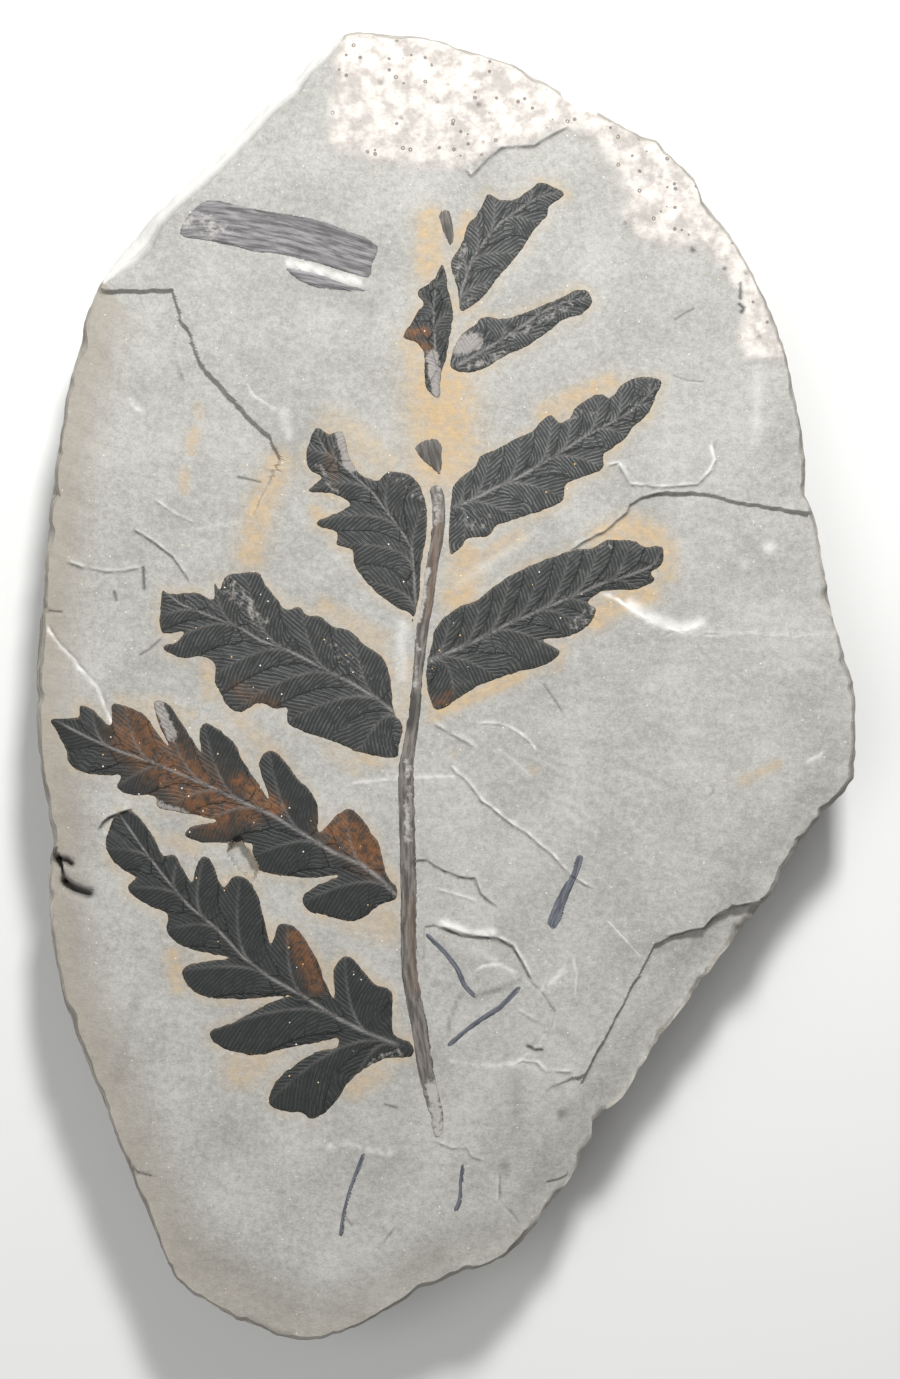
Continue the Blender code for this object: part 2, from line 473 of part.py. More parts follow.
def make_ledge_cutter(name, outline, depth, fall, collection):
    """Cutter whose floor lies depth mm down at the first outline point and falls per mm across and down."""
    floor = SLAB_THICKNESS - depth
    cutter = make_cutter(name, outline, floor, collection)
    start = Vector((*plan(outline[0]), 0.0))
    middle = (floor + CUTTER_TOP) * MM / 2
    for vert in cutter.data.vertices:
        if vert.co.z < 0.0:
            away = vert.co - start
            vert.co.z = floor * MM - middle - fall[0] * away.x + fall[1] * away.y
    return cutter


def grown(outline, by):
    """The outline pushed outwards by a distance in mm, its corners mitred up to a limit."""
    points = np.array(outline)
    runs = np.roll(points, -1, axis=0) - points
    runs /= np.hypot(runs[:, 0], runs[:, 1])[:, None]
    ahead = np.roll(points, -1, axis=0)
    area = (points[:, 0] * ahead[:, 1] - ahead[:, 0] * points[:, 1]).sum()
    outward = np.column_stack((runs[:, 1], -runs[:, 0])) * math.copysign(1.0, area)
    mitre = outward + np.roll(outward, 1, axis=0)
    length = np.hypot(mitre[:, 0], mitre[:, 1])
    reach = np.minimum(2.0 * by / length, MITRE_LIMIT * by)
    return [tuple(point) for point in points + mitre / length[:, None] * reach[:, None]]


def ribbon(line, half_widths):
    """Outline of a strip along a line, with a half width in mm at each of its points."""
    points = np.array(line)
    runs = np.gradient(points, axis=0)
    runs /= np.hypot(runs[:, 0], runs[:, 1])[:, None]
    across = np.column_stack((-runs[:, 1], runs[:, 0])) * np.array(half_widths)[:, None]
    return [tuple(point) for point in np.vstack((points + across, (points - across)[::-1]))]


def make_film(name, outline, material, level, order, parts, cutters):
    """A carbon film and the groove that it is inlaid in, a little deeper for each film in order."""
    top = SLAB_THICKNESS + FILM_PROUD + level
    film = prism(name, outline, top - FILM_THICKNESS, top, parts)
    film.data.materials.append(material)
    floor = SLAB_THICKNESS + level - GROOVE_DEPTH - GROOVE_STEP * order
    make_cutter(name + "_groove", grown(outline, GAP), floor, cutters)


def film_outlines():
    """Name, outline, material name and level in mm of every film, the frond's own first."""
    needle_long = ribbon(NEEDLE_LONG_LINE, [NEEDLE_HALF_WIDTH] * len(NEEDLE_LONG_LINE))
    needle_short = ribbon(NEEDLE_SHORT_LINE, [NEEDLE_HALF_WIDTH] * len(NEEDLE_SHORT_LINE))
    return (
        ("stalk", ribbon(STALK_LINE, STALK_HALF_WIDTHS), "stalk_carbon", 0.0),
        ("stalk_tip", STALK_TIP, "stalk_carbon", 0.0),
        ("stalk_remnant", STALK_REMNANT, "stalk_carbon", 0.0),
        ("left_pinna_1", LEFT_PINNA_1, "leaf_carbon", 0.0),
        ("left_pinna_2", LEFT_PINNA_2, "leaf_carbon", 0.0),
        ("left_pinna_3", LEFT_PINNA_3, "leaf_carbon", 0.0),
        ("left_pinna_4", LEFT_PINNA_4, "leaf_carbon", 0.0),
        ("left_pinna_5", LEFT_PINNA_5, "leaf_carbon", 0.0),
        ("right_pinna_1", RIGHT_PINNA_1, "leaf_carbon", 0.0),
        ("right_pinna_2", RIGHT_PINNA_2, "leaf_carbon", 0.0),
        ("right_pinna_3", RIGHT_PINNA_3, "leaf_carbon", 0.0),
        ("right_pinna_4", RIGHT_PINNA_4, "leaf_carbon", 0.0),
        ("stem_fragment", STEM_FRAGMENT, "stem_film", 0.0),
        ("stem_sliver", STEM_SLIVER, "stem_film", 0.0),
        ("leaf_strip", ribbon(LEAF_STRIP_LINE, LEAF_STRIP_HALF_WIDTHS), "scrap_film", 0.0),
        ("fork_scrap_left", ribbon(FORK_LEFT_LINE, FORK_HALF_WIDTHS), "scrap_film", -FORK_HOLLOW_DEPTH),
        ("fork_scrap_right", ribbon(FORK_RIGHT_LINE, FORK_HALF_WIDTHS), "scrap_film", -FORK_HOLLOW_DEPTH),
        ("needle_long", needle_long, "scrap_film", 0.0),
        ("needle_short", needle_short, "scrap_film", 0.0),
    )


def make_film_materials():
    return {
        "leaf_carbon": make_material("leaf_carbon", LEAF_COLOUR, FILM_ROUGHNESS),
        "stalk_carbon": make_material("stalk_carbon", STALK_COLOUR, FILM_ROUGHNESS),
        "stem_film": make_material("stem_film", STEM_COLOUR, FILM_ROUGHNESS),
        "scrap_film": make_material("scrap_film", SCRAP_COLOUR, FILM_ROUGHNESS),
    }


def make_ledge_cutters(cutters):
    """The broken ledges of the bedding plane: terraces, hollows, a corner break, a chip and a pit."""
    level = (0.0, 0.0)
    ledges = (
        ("arc_terrace", ARC_TERRACE, ARC_TERRACE_DEPTH, ARC_TERRACE_FALL),
        ("margin_terrace", MARGIN_TERRACE, MARGIN_TERRACE_DEPTH, MARGIN_TERRACE_FALL),
        ("corner_break", CORNER_BREAK, CORNER_BREAK_DEPTH, CORNER_BREAK_FALL),
        ("left_chip", LEFT_CHIP, LEFT_CHIP_DEPTH, LEFT_CHIP_FALL),
        ("tip_hollow", TIP_HOLLOW, TIP_HOLLOW_DEPTH, TIP_HOLLOW_FALL),
        ("fork_hollow", FORK_HOLLOW, FORK_HOLLOW_DEPTH, level),
        ("pit", ribbon(PIT_LINE, PIT_HALF_WIDTHS), PIT_DEPTH, level),
    )
    for name, outline, depth, fall in ledges:
        make_ledge_cutter(name, outline, depth, fall, cutters)


for old in list(bpy.data.objects):
    bpy.data.objects.remove(old)
parts = make_collection("mariopteris_fossil")
cutters = make_collection("cutters")
slab = make_slab(parts)
make_ledge_cutters(cutters)
materials = make_film_materials()
for order, (name, outline, material, level) in enumerate(film_outlines()):
    make_film(name, outline, materials[material], level, order, parts, cutters)
cut = slab.modifiers.new("grooves_and_ledges", "BOOLEAN")
cut.operation = "DIFFERENCE"
cut.operand_type = "COLLECTION"
cut.collection = cutters
cut.solver = "EXACT"
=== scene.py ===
"""Dressed model of a fossil frond: black carbon films of a seed fern on a slab of grey shale.

Plan points are millimetres on a sheet laid over the slab, x to the right and y down from the
sheet's top left corner. +Z is up out of the bedding plane, and z = 0 is the slab's underside.
"""

import math

import bmesh
import bpy
import numpy as np
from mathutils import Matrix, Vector, noise


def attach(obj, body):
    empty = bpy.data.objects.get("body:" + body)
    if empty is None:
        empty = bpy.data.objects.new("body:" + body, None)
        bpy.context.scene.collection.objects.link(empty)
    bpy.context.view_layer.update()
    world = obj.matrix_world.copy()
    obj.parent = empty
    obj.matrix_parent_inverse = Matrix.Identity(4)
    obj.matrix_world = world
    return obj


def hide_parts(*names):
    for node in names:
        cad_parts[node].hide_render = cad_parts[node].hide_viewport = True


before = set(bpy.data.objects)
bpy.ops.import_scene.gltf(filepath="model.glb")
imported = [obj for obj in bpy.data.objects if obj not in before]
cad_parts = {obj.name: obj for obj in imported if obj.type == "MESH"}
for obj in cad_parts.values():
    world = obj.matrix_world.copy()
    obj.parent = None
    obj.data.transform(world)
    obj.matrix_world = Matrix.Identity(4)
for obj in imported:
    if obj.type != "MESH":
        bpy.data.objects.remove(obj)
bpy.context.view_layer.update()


# The shale slab, its shape.
# One piece of grey shale split along its bedding: a gently uneven bedding plane on top, broken
# sides that step in bed by bed, a smooth joint face at the upper left, its paleness a painted
# highlight, and a flat underside.
MM = 0.001
SHEET_CENTRE = np.array((44.575, 68.6))
# Height in mm of the bedding plane above the underside, and the highest that any bump on it may reach.
SLAB_THICKNESS = 12.0
HIGHEST = 12.46

# Outline of the slab where it is widest.
SLAB_OUTLINE = (
    (35.7, 2.8), (40.9, 3.1), (43.7, 3.65), (45.5, 4.2), (48.8, 5.3), (51.3, 6.1), (53.4, 7.2),
    (55.5, 8.4), (58.2, 9.7), (60.3, 10.9), (61.7, 11.9), (63.5, 12.8), (65.8, 13.7),
    (67.7, 15.7), (69.4, 17.2), (70.4, 19.7), (71.9, 21.4), (73.3, 23.4), (75.4, 27.0),
    (77.3, 30.9), (78.5, 34.1), (79.4, 38.0), (80.1, 41.5), (80.8, 46.1), (80.7, 49.4),
    (81.6, 51.0), (82.5, 56.3), (83.5, 61.4), (84.8, 66.0), (85.7, 68.1), (85.8, 72.1),
    (85.7, 78.0), (84.8, 79.3), (83.6, 80.4), (81.7, 82.4), (80.0, 84.6), (78.6, 87.1),
    (77.4, 89.4), (76.0, 91.1), (74.1, 93.5), (72.1, 95.9), (70.3, 98.4), (68.0, 101.5),
    (66.0, 104.0), (63.9, 107.4), (62.4, 110.0), (60.7, 111.4), (59.2, 112.3), (59.3, 113.3),
    (59.1, 115.0), (58.3, 115.7), (57.7, 117.1), (56.2, 119.4), (54.6, 121.1), (53.6, 122.9),
    (52.2, 124.7), (50.5, 126.0), (48.3, 127.1), (46.2, 127.5), (44.2, 128.5), (42.1, 129.2),
    (40.5, 130.4), (38.3, 131.6), (36.1, 132.8), (33.9, 133.7), (32.2, 134.3), (29.9, 134.4),
    (27.6, 134.0), (26.1, 133.1), (23.4, 132.3), (21.3, 131.0), (19.2, 129.8), (17.3, 128.1),
    (16.4, 126.2), (15.3, 123.3), (14.1, 120.6), (12.8, 117.3), (11.1, 113.1), (9.9, 109.7),
    (8.6, 106.8), (7.6, 104.2), (6.5, 101.5), (5.8, 98.3), (5.2, 95.5), (4.65, 91.3),
    (4.65, 87.0), (5.1, 84.2), (4.5, 80.8), (3.9, 77.4), (3.5, 74.0), (3.35, 69.5),
    (3.5, 64.0), (3.7, 61.6), (4.2, 59.4), (4.25, 56.3), (4.6, 52.6), (4.9, 49.1), (5.3, 46.3),
    (6.1, 42.0), (6.4, 39.0), (7.1, 36.7), (7.8, 33.9), (8.4, 31.3), (8.9, 30.1), (9.5, 28.6),
    (11.0, 25.2), (11.7, 23.7), (13.0, 22.0), (15.4, 20.0), (17.4, 18.1), (18.9, 16.4),
    (20.9, 15.0), (22.9, 12.9), (25.7, 9.9), (28.0, 7.5), (29.9, 5.9), (31.1, 4.3),
    (31.7, 3.5), (33.1, 3.3),
)
# Inner edges of the joint face at the upper left, painted pale as a highlight, and of the flake lost at the
# upper right.
FACET_RIM = (
    (8.9, 30.1), (10.2, 28.6), (11.9, 27.4), (13.9, 26.2), (15.2, 24.8), (16.3, 22.5),
    (18.0, 20.6), (20.4, 18.6), (22.2, 16.9), (25.0, 14.1), (27.6, 11.1), (29.8, 9.4),
    (31.1, 7.5), (33.1, 5.7), (34.4, 3.8), (35.7, 2.8),
)
NOTCH_RIM = ((54.5, 8.3), (56.2, 9.8), (58.7, 11.15), (60.8, 12.1), (62.2, 12.6))


def to_world(spots):
    """World x and y in metres of sheet points."""
    return (np.asarray(spots, float) - SHEET_CENTRE) * (MM, -MM)


def to_sheet(places):
    """Sheet points in mm under world places in metres."""
    return np.asarray(places, float)[:, :2] / (MM, -MM) + SHEET_CENTRE


def ease(value):
    """A share from 0 to 1, held at both ends and eased in between."""
    value = np.clip(value, 0.0, 1.0)
    return value * value * (3.0 - 2.0 * value)


def grain(spots, size, layer):
    """Soft noise from about -1 to 1 over sheet points, its lumps as big as size in mm.

    Each layer number is another noise of the same kind.
    """
    return np.array([noise.noise(Vector((x, y, layer))) for x, y in spots / size])


SQUARE_ON = 0.000001


def along_line(spots, line):
    """Distance to a broken line, side of it, length walked along it, and its whole length.

    The side is 1 to the right of the walk and -1 to the left. Where two runs of the line are equally
    near, as they are off a corner, the run that the point stands more square to gives the side.
    """
    corners = np.asarray(line, float)
    best = np.full(len(spots), np.inf)
    distance, side, walked = np.zeros((3, len(spots)))
    start = 0.0
    for first, second in zip(corners[:-1], corners[1:]):
        run = second - first
        length = np.hypot(*run)
        offset = spots - first
        share = np.clip(offset @ run / length ** 2, 0.0, 1.0)
        gap = offset - share[:, None] * run
        away = np.hypot(gap[:, 0], gap[:, 1])
        cross = (run[0] * offset[:, 1] - run[1] * offset[:, 0]) / length
        score = away - SQUARE_ON * np.abs(cross)
        nearer = score < best
        best = np.where(nearer, score, best)
        distance = np.where(nearer, away, distance)
        side = np.where(nearer, np.where(cross < 0.0, -1.0, 1.0), side)
        walked = np.where(nearer, start + share * length, walked)
        start += length
    return distance, side, walked, start


def depth_inside(spots, outline):
    """Distance in mm to a closed outline, positive inside it."""
    corners = np.asarray(outline, float)
    inside = np.zeros(len(spots), bool)
    x, y = spots[:, 0], spots[:, 1]
    for (ax, ay), (bx, by) in zip(corners, np.roll(corners, -1, axis=0)):
        if ay != by:
            inside ^= ((ay > y) != (by > y)) & (x < ax + (bx - ax) * (y - ay) / (by - ay))
    distance = along_line(spots, np.vstack((corners, corners[:1])))[0]
    return np.where(inside, distance, -distance)


def film_outline(name):
    """Outline on the sheet of a film's flat top, read from its solid in the frame."""
    bm = bmesh.new()
    bm.from_mesh(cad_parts[name].data)
    bmesh.ops.remove_doubles(bm, verts=bm.verts, dist=0.000001)
    bm.normal_update()
    top = max(vert.co.z for vert in bm.verts)
    beside = {}
    for edge in bm.edges:
        level = all(vert.co.z > top - 0.00001 for vert in edge.verts)
        if level and any(abs(face.normal.z) < 0.5 for face in edge.link_faces):
            first, second = edge.verts
            beside.setdefault(first, []).append(second)
            beside.setdefault(second, []).append(first)
    walk = [min(beside, key=lambda vert: (vert.co.x, vert.co.y))]
    ahead = min(beside[walk[0]], key=lambda vert: (vert.co.y, vert.co.x))
    while ahead is not walk[0]:
        walk.append(ahead)
        ahead = next(vert for vert in beside[walk[-1]] if vert is not walk[-2])
    outline = to_sheet([vert.co[:] for vert in walk])
    bm.free()
    return outline


film_outlines = {name: film_outline(name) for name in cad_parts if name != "shale_slab"}

# Broken ledges of the bedding plane: outline, depth at its first point, fall per mm across and down.
TERRACES = (
    (((17.2, 29.0), (18.0, 31.8), (19.0, 33.5), (19.7, 35.7), (20.5, 37.1), (21.6, 38.1),
      (22.7, 39.3), (23.8, 40.6), (25.1, 41.9), (27.1, 43.9), (28.0, 46.0), (25.0, 52.0),
      (12.0, 54.0), (0.0, 54.0), (0.0, 29.0)), 0.55, (0.026, -0.018)),
    (((65.5, 94.5), (67.8, 93.4), (70.5, 92.8), (71.3, 91.8), (73.3, 90.7), (75.6, 90.4),
      (77.5, 89.3), (82.0, 91.0), (70.0, 106.0), (62.0, 112.0), (58.0, 108.5), (61.5, 102.0)),
     0.5, (0.06, 0.05)),
    (((58.3, 107.5), (55.0, 108.8), (52.4, 111.0), (50.6, 113.0), (49.8, 116.0), (49.7, 119.8),
      (51.0, 122.0), (52.0, 125.5), (56.0, 126.0), (66.0, 114.0), (66.0, 109.0)), 0.35, (0.11, 0.04)),
    (((5.1, 84.6), (6.0, 85.8), (6.3, 88.0), (8.7, 89.3), (8.6, 90.2), (7.6, 92.7), (6.1, 98.3),
      (1.0, 98.5), (1.0, 84.6)), 1.3, (-0.22, -0.09)),
    (((56.7, 55.4), (58.3, 54.2), (60.6, 53.1), (62.7, 51.2), (63.0, 50.5), (64.1, 49.8),
      (65.9, 49.3), (69.8, 49.3), (73.5, 50.2), (86.0, 52.0), (88.0, 63.0), (79.0, 63.5),
      (73.5, 63.2), (69.0, 63.2), (66.3, 62.7), (64.0, 61.8), (62.0, 60.2), (60.1, 59.1)),
     0.08, (0.018, 0.0)),
    (((42.5, 92.6), (45.0, 92.8), (47.1, 93.6), (49.8, 94.2), (51.1, 94.7), (52.4, 96.4),
      (53.3, 98.4), (54.3, 99.4), (55.5, 101.2), (55.2, 102.8), (53.8, 104.6), (51.5, 106.4),
      (48.0, 106.6), (44.9, 106.0), (43.7, 102.5), (42.9, 99.5), (42.4, 96.0)), 0.22, (0.0, 0.0)),
    (((22.9, 84.4), (23.4, 84.0), (24.1, 83.8), (24.4, 84.6), (25.1, 85.5), (25.7, 86.6),
      (25.6, 87.7), (25.2, 88.0), (24.2, 87.2), (23.4, 86.2), (22.8, 85.2)), 1.1, (0.0, 0.0)),
)
# Low scarps: line, rise in mm of its right hand over its left, reach of the rise in mm,
# whiteness of the edge (crushed rock and painted highlight), strength of the painted shadow at the foot.
SCARPS = (
    (((13.1, 52.8), (15.2, 54.1), (17.3, 55.7), (18.8, 57.9), (19.0, 58.6)), -0.28, 4.0, 0.4, 0.45),
    (((6.4, 56.1), (8.1, 56.7), (9.2, 56.9), (10.7, 57.2), (12.2, 57.1), (13.3, 56.9), (14.3, 56.8)),
     -0.12, 2.5, 0.35, 0.5),
    (((15.1, 49.8), (16.4, 50.7), (17.7, 51.6), (19.6, 52.4)), -0.1, 1.6, 0.5, 0.2),
    (((17.6, 32.8), (17.5, 34.5), (17.8, 36.3), (18.2, 37.6), (18.6, 38.7)), -0.08, 1.5, 0.1, 0.35),
    (((4.65, 62.35), (5.6, 64.0), (7.3, 65.7), (8.7, 67.4), (9.9, 68.7), (10.65, 70.7),
      (11.85, 73.2)), 0.12, 3.0, 0.8, 0.5),
    (((9.7, 83.2), (10.3, 82.2), (10.9, 81.7), (12.2, 81.2), (13.5, 80.8)), -0.45, 2.2, 0.2, 1.0),
    (((43.1, 72.2), (44.1, 72.8), (45.3, 73.5), (46.8, 74.3), (47.8, 75.1)), -0.1, 2.0, 0.35, 0.55),
    (((47.5, 72.4), (48.8, 72.4), (50.0, 72.45), (51.1, 72.9), (51.9, 73.4), (52.7, 74.05),
      (53.3, 74.8), (53.6, 75.4)), -0.1, 1.8, 0.6, 0.15),
    (((44.9, 76.4), (45.6, 77.3), (46.4, 77.9), (47.2, 78.8), (48.1, 80.1), (49.0, 80.7),
      (50.3, 81.8), (51.5, 82.7), (52.7, 83.4), (53.9, 84.5), (55.2, 85.5), (56.2, 86.7),
      (57.0, 87.5), (58.5, 88.5), (59.7, 89.0)), -0.2, 3.5, 0.7, 0.4),
    (((41.0, 86.4), (41.8, 86.0), (42.7, 86.0), (43.5, 86.6), (44.5, 87.1), (45.7, 87.6),
      (46.8, 87.8), (47.5, 87.8), (47.8, 88.6), (48.1, 89.4), (48.8, 90.0), (50.0, 90.9)),
     -0.24, 2.0, 0.25, 0.75),
    (((43.3, 88.9), (45.1, 89.4), (46.8, 89.9), (48.0, 90.4)), -0.1, 1.2, 0.5, 0.2),
    (((43.9, 92.5), (44.9, 93.0), (46.1, 93.5), (47.4, 93.6), (48.6, 93.7), (49.8, 93.8),
      (51.3, 94.6), (52.1, 96.0), (53.3, 98.3)), -0.3, 2.0, 0.9, 0.9),
    (((47.1, 97.2), (48.2, 96.5), (50.2, 96.3), (51.9, 97.4)), 0.1, 1.0, 0.5, 0.1),
    (((57.5, 95.5), (57.8, 97.5), (57.7, 100.0)), 0.1, 1.5, 0.3, 0.1),
    (((51.5, 100.9), (53.3, 102.0), (54.8, 102.6)), -0.1, 1.2, 0.5, 0.2),
    (((51.1, 106.6), (52.2, 106.1), (53.7, 106.3), (54.6, 107.2), (57.6, 107.2)), -0.12, 1.2, 0.6, 0.4),
    (((43.2, 114.0), (45.2, 114.85), (46.7, 114.85), (47.15, 115.7), (48.7, 116.2)), -0.12, 1.5, 0.35, 0.3),
    (((49.9, 117.0), (49.9, 120.0), (50.9, 121.2), (52.1, 122.8)), 0.14, 1.5, 0.2, 0.5),
    (((54.1, 121.5), (54.6, 120.6), (54.9, 119.8)), -0.1, 1.0, 0.0, 0.8),
    (((60.5, 46.6), (61.8, 46.4), (63.0, 48.5), (66.1, 48.8), (69.8, 48.5), (71.2, 47.0),
      (71.6, 46.0), (71.2, 44.0)), -0.22, 3.0, 0.7, 0.25),
    (((69.8, 49.3), (65.9, 49.3), (64.1, 49.8), (63.0, 50.5), (62.7, 51.2), (60.6, 53.1),
      (58.3, 54.2), (56.7, 55.4)), 0.2, 2.5, 0.3, 0.5),
    (((60.1, 59.1), (62.0, 59.9), (63.6, 61.0), (65.7, 62.2), (68.2, 63.0), (70.1, 62.5)),
     0.22, 2.5, 1.0, 0.1),
    (((66.1, 63.7), (67.5, 63.2), (71.9, 63.5), (73.3, 63.2)), 0.08, 1.5, 0.2, 0.4),
    (((70.7, 79.8), (71.3, 79.3), (71.5, 78.2)), 0.05, 0.8, 0.0, 0.7),
    (((80.2, 76.2), (81.7, 75.6), (82.6, 74.8)), 0.08, 1.0, 0.6, 0.0),
    (((46.4, 16.7), (47.1, 17.6), (48.6, 16.1), (50.1, 14.8), (53.4, 14.6), (55.2, 13.5),
      (57.1, 12.5)), -0.25, 2.5, 0.25, 0.45),
    (((35.0, 78.5), (40.0, 77.95), (42.0, 77.85), (44.9, 77.8), (45.9, 78.0)), -0.03, 0.6, 0.7, 0.0),
    (((28.4, 41.1), (27.2, 40.6), (25.5, 39.5), (24.7, 38.1)), -0.1, 1.4, 0.5, 0.2),
    (((66.1, 93.7), (67.8, 93.4), (69.0, 93.0), (70.5, 92.8), (71.3, 91.8), (72.5, 91.5),
      (73.3, 90.7), (74.4, 90.5), (75.6, 90.4)), -0.1, 1.5, 0.1, 0.6),
)
# Cracks and slots: line, depth, half width in mm, strength of the painted shade in them.
CRACKS = (
    (((14.3, 56.8), (14.35, 57.9), (14.4, 58.9)), 0.2, 0.12, 0.8),
    (((11.4, 59.2), (11.6, 60.0)), 0.15, 0.12, 0.7),
    (((4.2, 60.5), (4.8, 61.1), (6.1, 61.2)), 0.15, 0.1, 0.6),
    (((23.8, 47.7), (26.0, 48.2)), 0.12, 0.1, 0.6),
    (((14.0, 65.5), (14.9, 65.0), (16.0, 64.0)), 0.12, 0.1, 0.5),
    (((5.6, 85.9), (6.6, 86.1), (7.0, 86.4)), 0.9, 0.28, 1.0),
    (((5.7, 86.0), (6.2, 87.4), (6.4, 88.2)), 0.7, 0.16, 0.8),
    (((6.3, 88.2), (7.3, 88.9), (8.8, 89.4)), 1.0, 0.42, 1.0),
    (((54.4, 68.5), (55.3, 69.8), (56.2, 71.2)), 0.1, 0.09, 0.45),
    (((60.9, 92.1), (62.5, 93.8), (64.0, 95.5)), 0.08, 0.09, 0.1),
    (((52.8, 104.7), (53.5, 105.0), (54.2, 105.0)), 0.2, 0.14, 0.9),
    (((38.5, 110.5), (39.7, 110.8)), 0.1, 0.1, 0.6),
    (((12.8, 116.5), (13.7, 117.4), (15.0, 117.7)), 0.15, 0.1, 0.7),
    (((54.8, 118.4), (55.9, 118.2), (57.0, 117.7)), 0.15, 0.1, 0.6),
    (((74.1, 28.3), (74.1, 29.8)), 0.2, 0.12, 0.8),
    (((74.0, 30.4), (74.4, 30.8), (74.2, 31.2)), 0.25, 0.14, 0.9),
    (((67.5, 32.0), (68.4, 31.4), (69.4, 30.9)), 0.08, 0.08, 0.45),
    (((67.3, 37.6), (68.8, 38.1), (70.3, 38.2)), 0.08, 0.08, 0.35),
    (((34.6, 121.8), (35.2, 122.6)), 0.06, 0.09, 0.5),
    (((38.4, 124.2), (39.5, 122.8)), 0.06, 0.09, 0.4),
)
# Round pits: place, radius, depth.
PITS = (
    ((56.3, 111.7), 0.7, 0.3), ((69.3, 25.1), 0.35, 0.3), ((72.5, 26.9), 0.3, 0.25),
    ((74.7, 27.3), 0.3, 0.25), ((76.0, 33.7), 0.35, 0.3), ((66.1, 17.7), 0.3, 0.25),
    ((43.8, 10.3), 0.25, 0.2), ((47.9, 10.5), 0.3, 0.25), ((44.8, 8.5), 0.2, 0.2),
    ((40.1, 11.9), 0.25, 0.2), ((38.0, 8.4), 0.4, 0.2), ((48.3, 14.3), 0.2, 0.2),
)
CRUST_EDGE = (
    (33.0, 14.5), (40.0, 17.0), (46.4, 16.7), (47.1, 17.6), (50.1, 14.6), (53.4, 14.6),
    (57.1, 12.5), (60.0, 15.0), (62.3, 18.0), (62.5, 21.6), (63.8, 23.9), (68.1, 24.5),
    (70.0, 24.7), (71.9, 26.6), (73.8, 29.3), (74.6, 35.8), (79.5, 36.2), (95.0, 36.2),
    (95.0, -5.0), (33.0, -5.0),
)
# Plumose fracture: the place that its fine striae spread from.
PLUME_HEART = np.array((42.0, 70.0))


def to_polar(outline):
    """Turns and reaches of a star-shaped outline about the sheet's centre, in order of turn."""
    offsets = np.array(outline) - SHEET_CENTRE
    turns = np.arctan2(-offsets[:, 1], offsets[:, 0]) % math.tau
    order = np.argsort(turns)
    return turns[order], np.hypot(offsets[:, 0], offsets[:, 1])[order]


# Keeps the broken side just inside the solid's own outline.
CONTOUR_INSET = 0.06


def widest(turns):
    """Distance in mm from the centre to the slab's widest contour."""
    return np.interp(turns, *to_polar(SLAB_OUTLINE), period=math.tau) - CONTOUR_INSET


def on_ring(turns, reach):
    """Flat places in mm, x right and y up, on a ring about the centre."""
    return np.column_stack((reach * np.cos(turns), reach * np.sin(turns)))


RIM_TURNS = np.linspace(0.0, math.tau, 3600, endpoint=False)
rim_places = on_ring(RIM_TURNS, widest(RIM_TURNS))
rim_setback = 0.5 + 0.7 * np.maximum(0.0, grain(rim_places, 3.5, 0.0))
rim_setback += 0.5 * np.maximum(0.0, grain(rim_places, 1.3, 4.5)) + 0.08 * grain(rim_places, 0.6, 7.5)
FAR = 1000.0
facet_reach = np.interp(RIM_TURNS, *to_polar(FACET_RIM), left=FAR, right=FAR)
notch_reach = np.interp(RIM_TURNS, *to_polar(NOTCH_RIM), left=FAR, right=FAR)
rim_reach = np.minimum(widest(RIM_TURNS) - rim_setback, np.minimum(facet_reach, notch_reach))
on_facet = ((facet_reach < widest(RIM_TURNS) - 0.9) | (notch_reach < widest(RIM_TURNS) - 0.9)).astype(float)


def rim(turns):
    """Distance in mm from the centre to the chipped edge of the bedding plane."""
    return np.interp(turns, RIM_TURNS, rim_reach, period=math.tau)


def share_out(spots):
    """0 at the sheet's centre, 1 at the bedding plane's edge, and the turn of each point."""
    offsets = spots - SHEET_CENTRE
    turns = np.arctan2(-offsets[:, 1], offsets[:, 0]) % math.tau
    return np.hypot(offsets[:, 0], offsets[:, 1]) / rim(turns), turns


def close_by(spots, line, reach):
    """Rows of the points that lie within a reach in mm of the box round a line."""
    corners = np.asarray(line)
    low, high = corners.min(axis=0) - reach, corners.max(axis=0) + reach
    return np.flatnonzero(((spots > low) & (spots < high)).all(axis=1))


def stroke(spots, line, radius):
    """1 on a line or a single point, fading to nothing a little beyond a radius in mm."""
    strength = np.zeros(len(spots))
    near = close_by(spots, line, 3.0 * radius)
    if len(line) == 1:
        away = np.hypot(*(spots[near] - line[0]).T)
    else:
        away = along_line(spots[near], line)[0]
    strength[near] = np.exp(-(away / radius) ** 2)
    return strength


def crust_cover(spots):
    """0 off the mineral crust at the upper right and 1 on it."""
    ragged_edge = 0.8 * grain(spots, 2.5, 11.5) + 0.4 * grain(spots, 0.9, 12.5)
    return ease(0.5 + (depth_inside(spots, CRUST_EDGE) + ragged_edge) / 1.6)


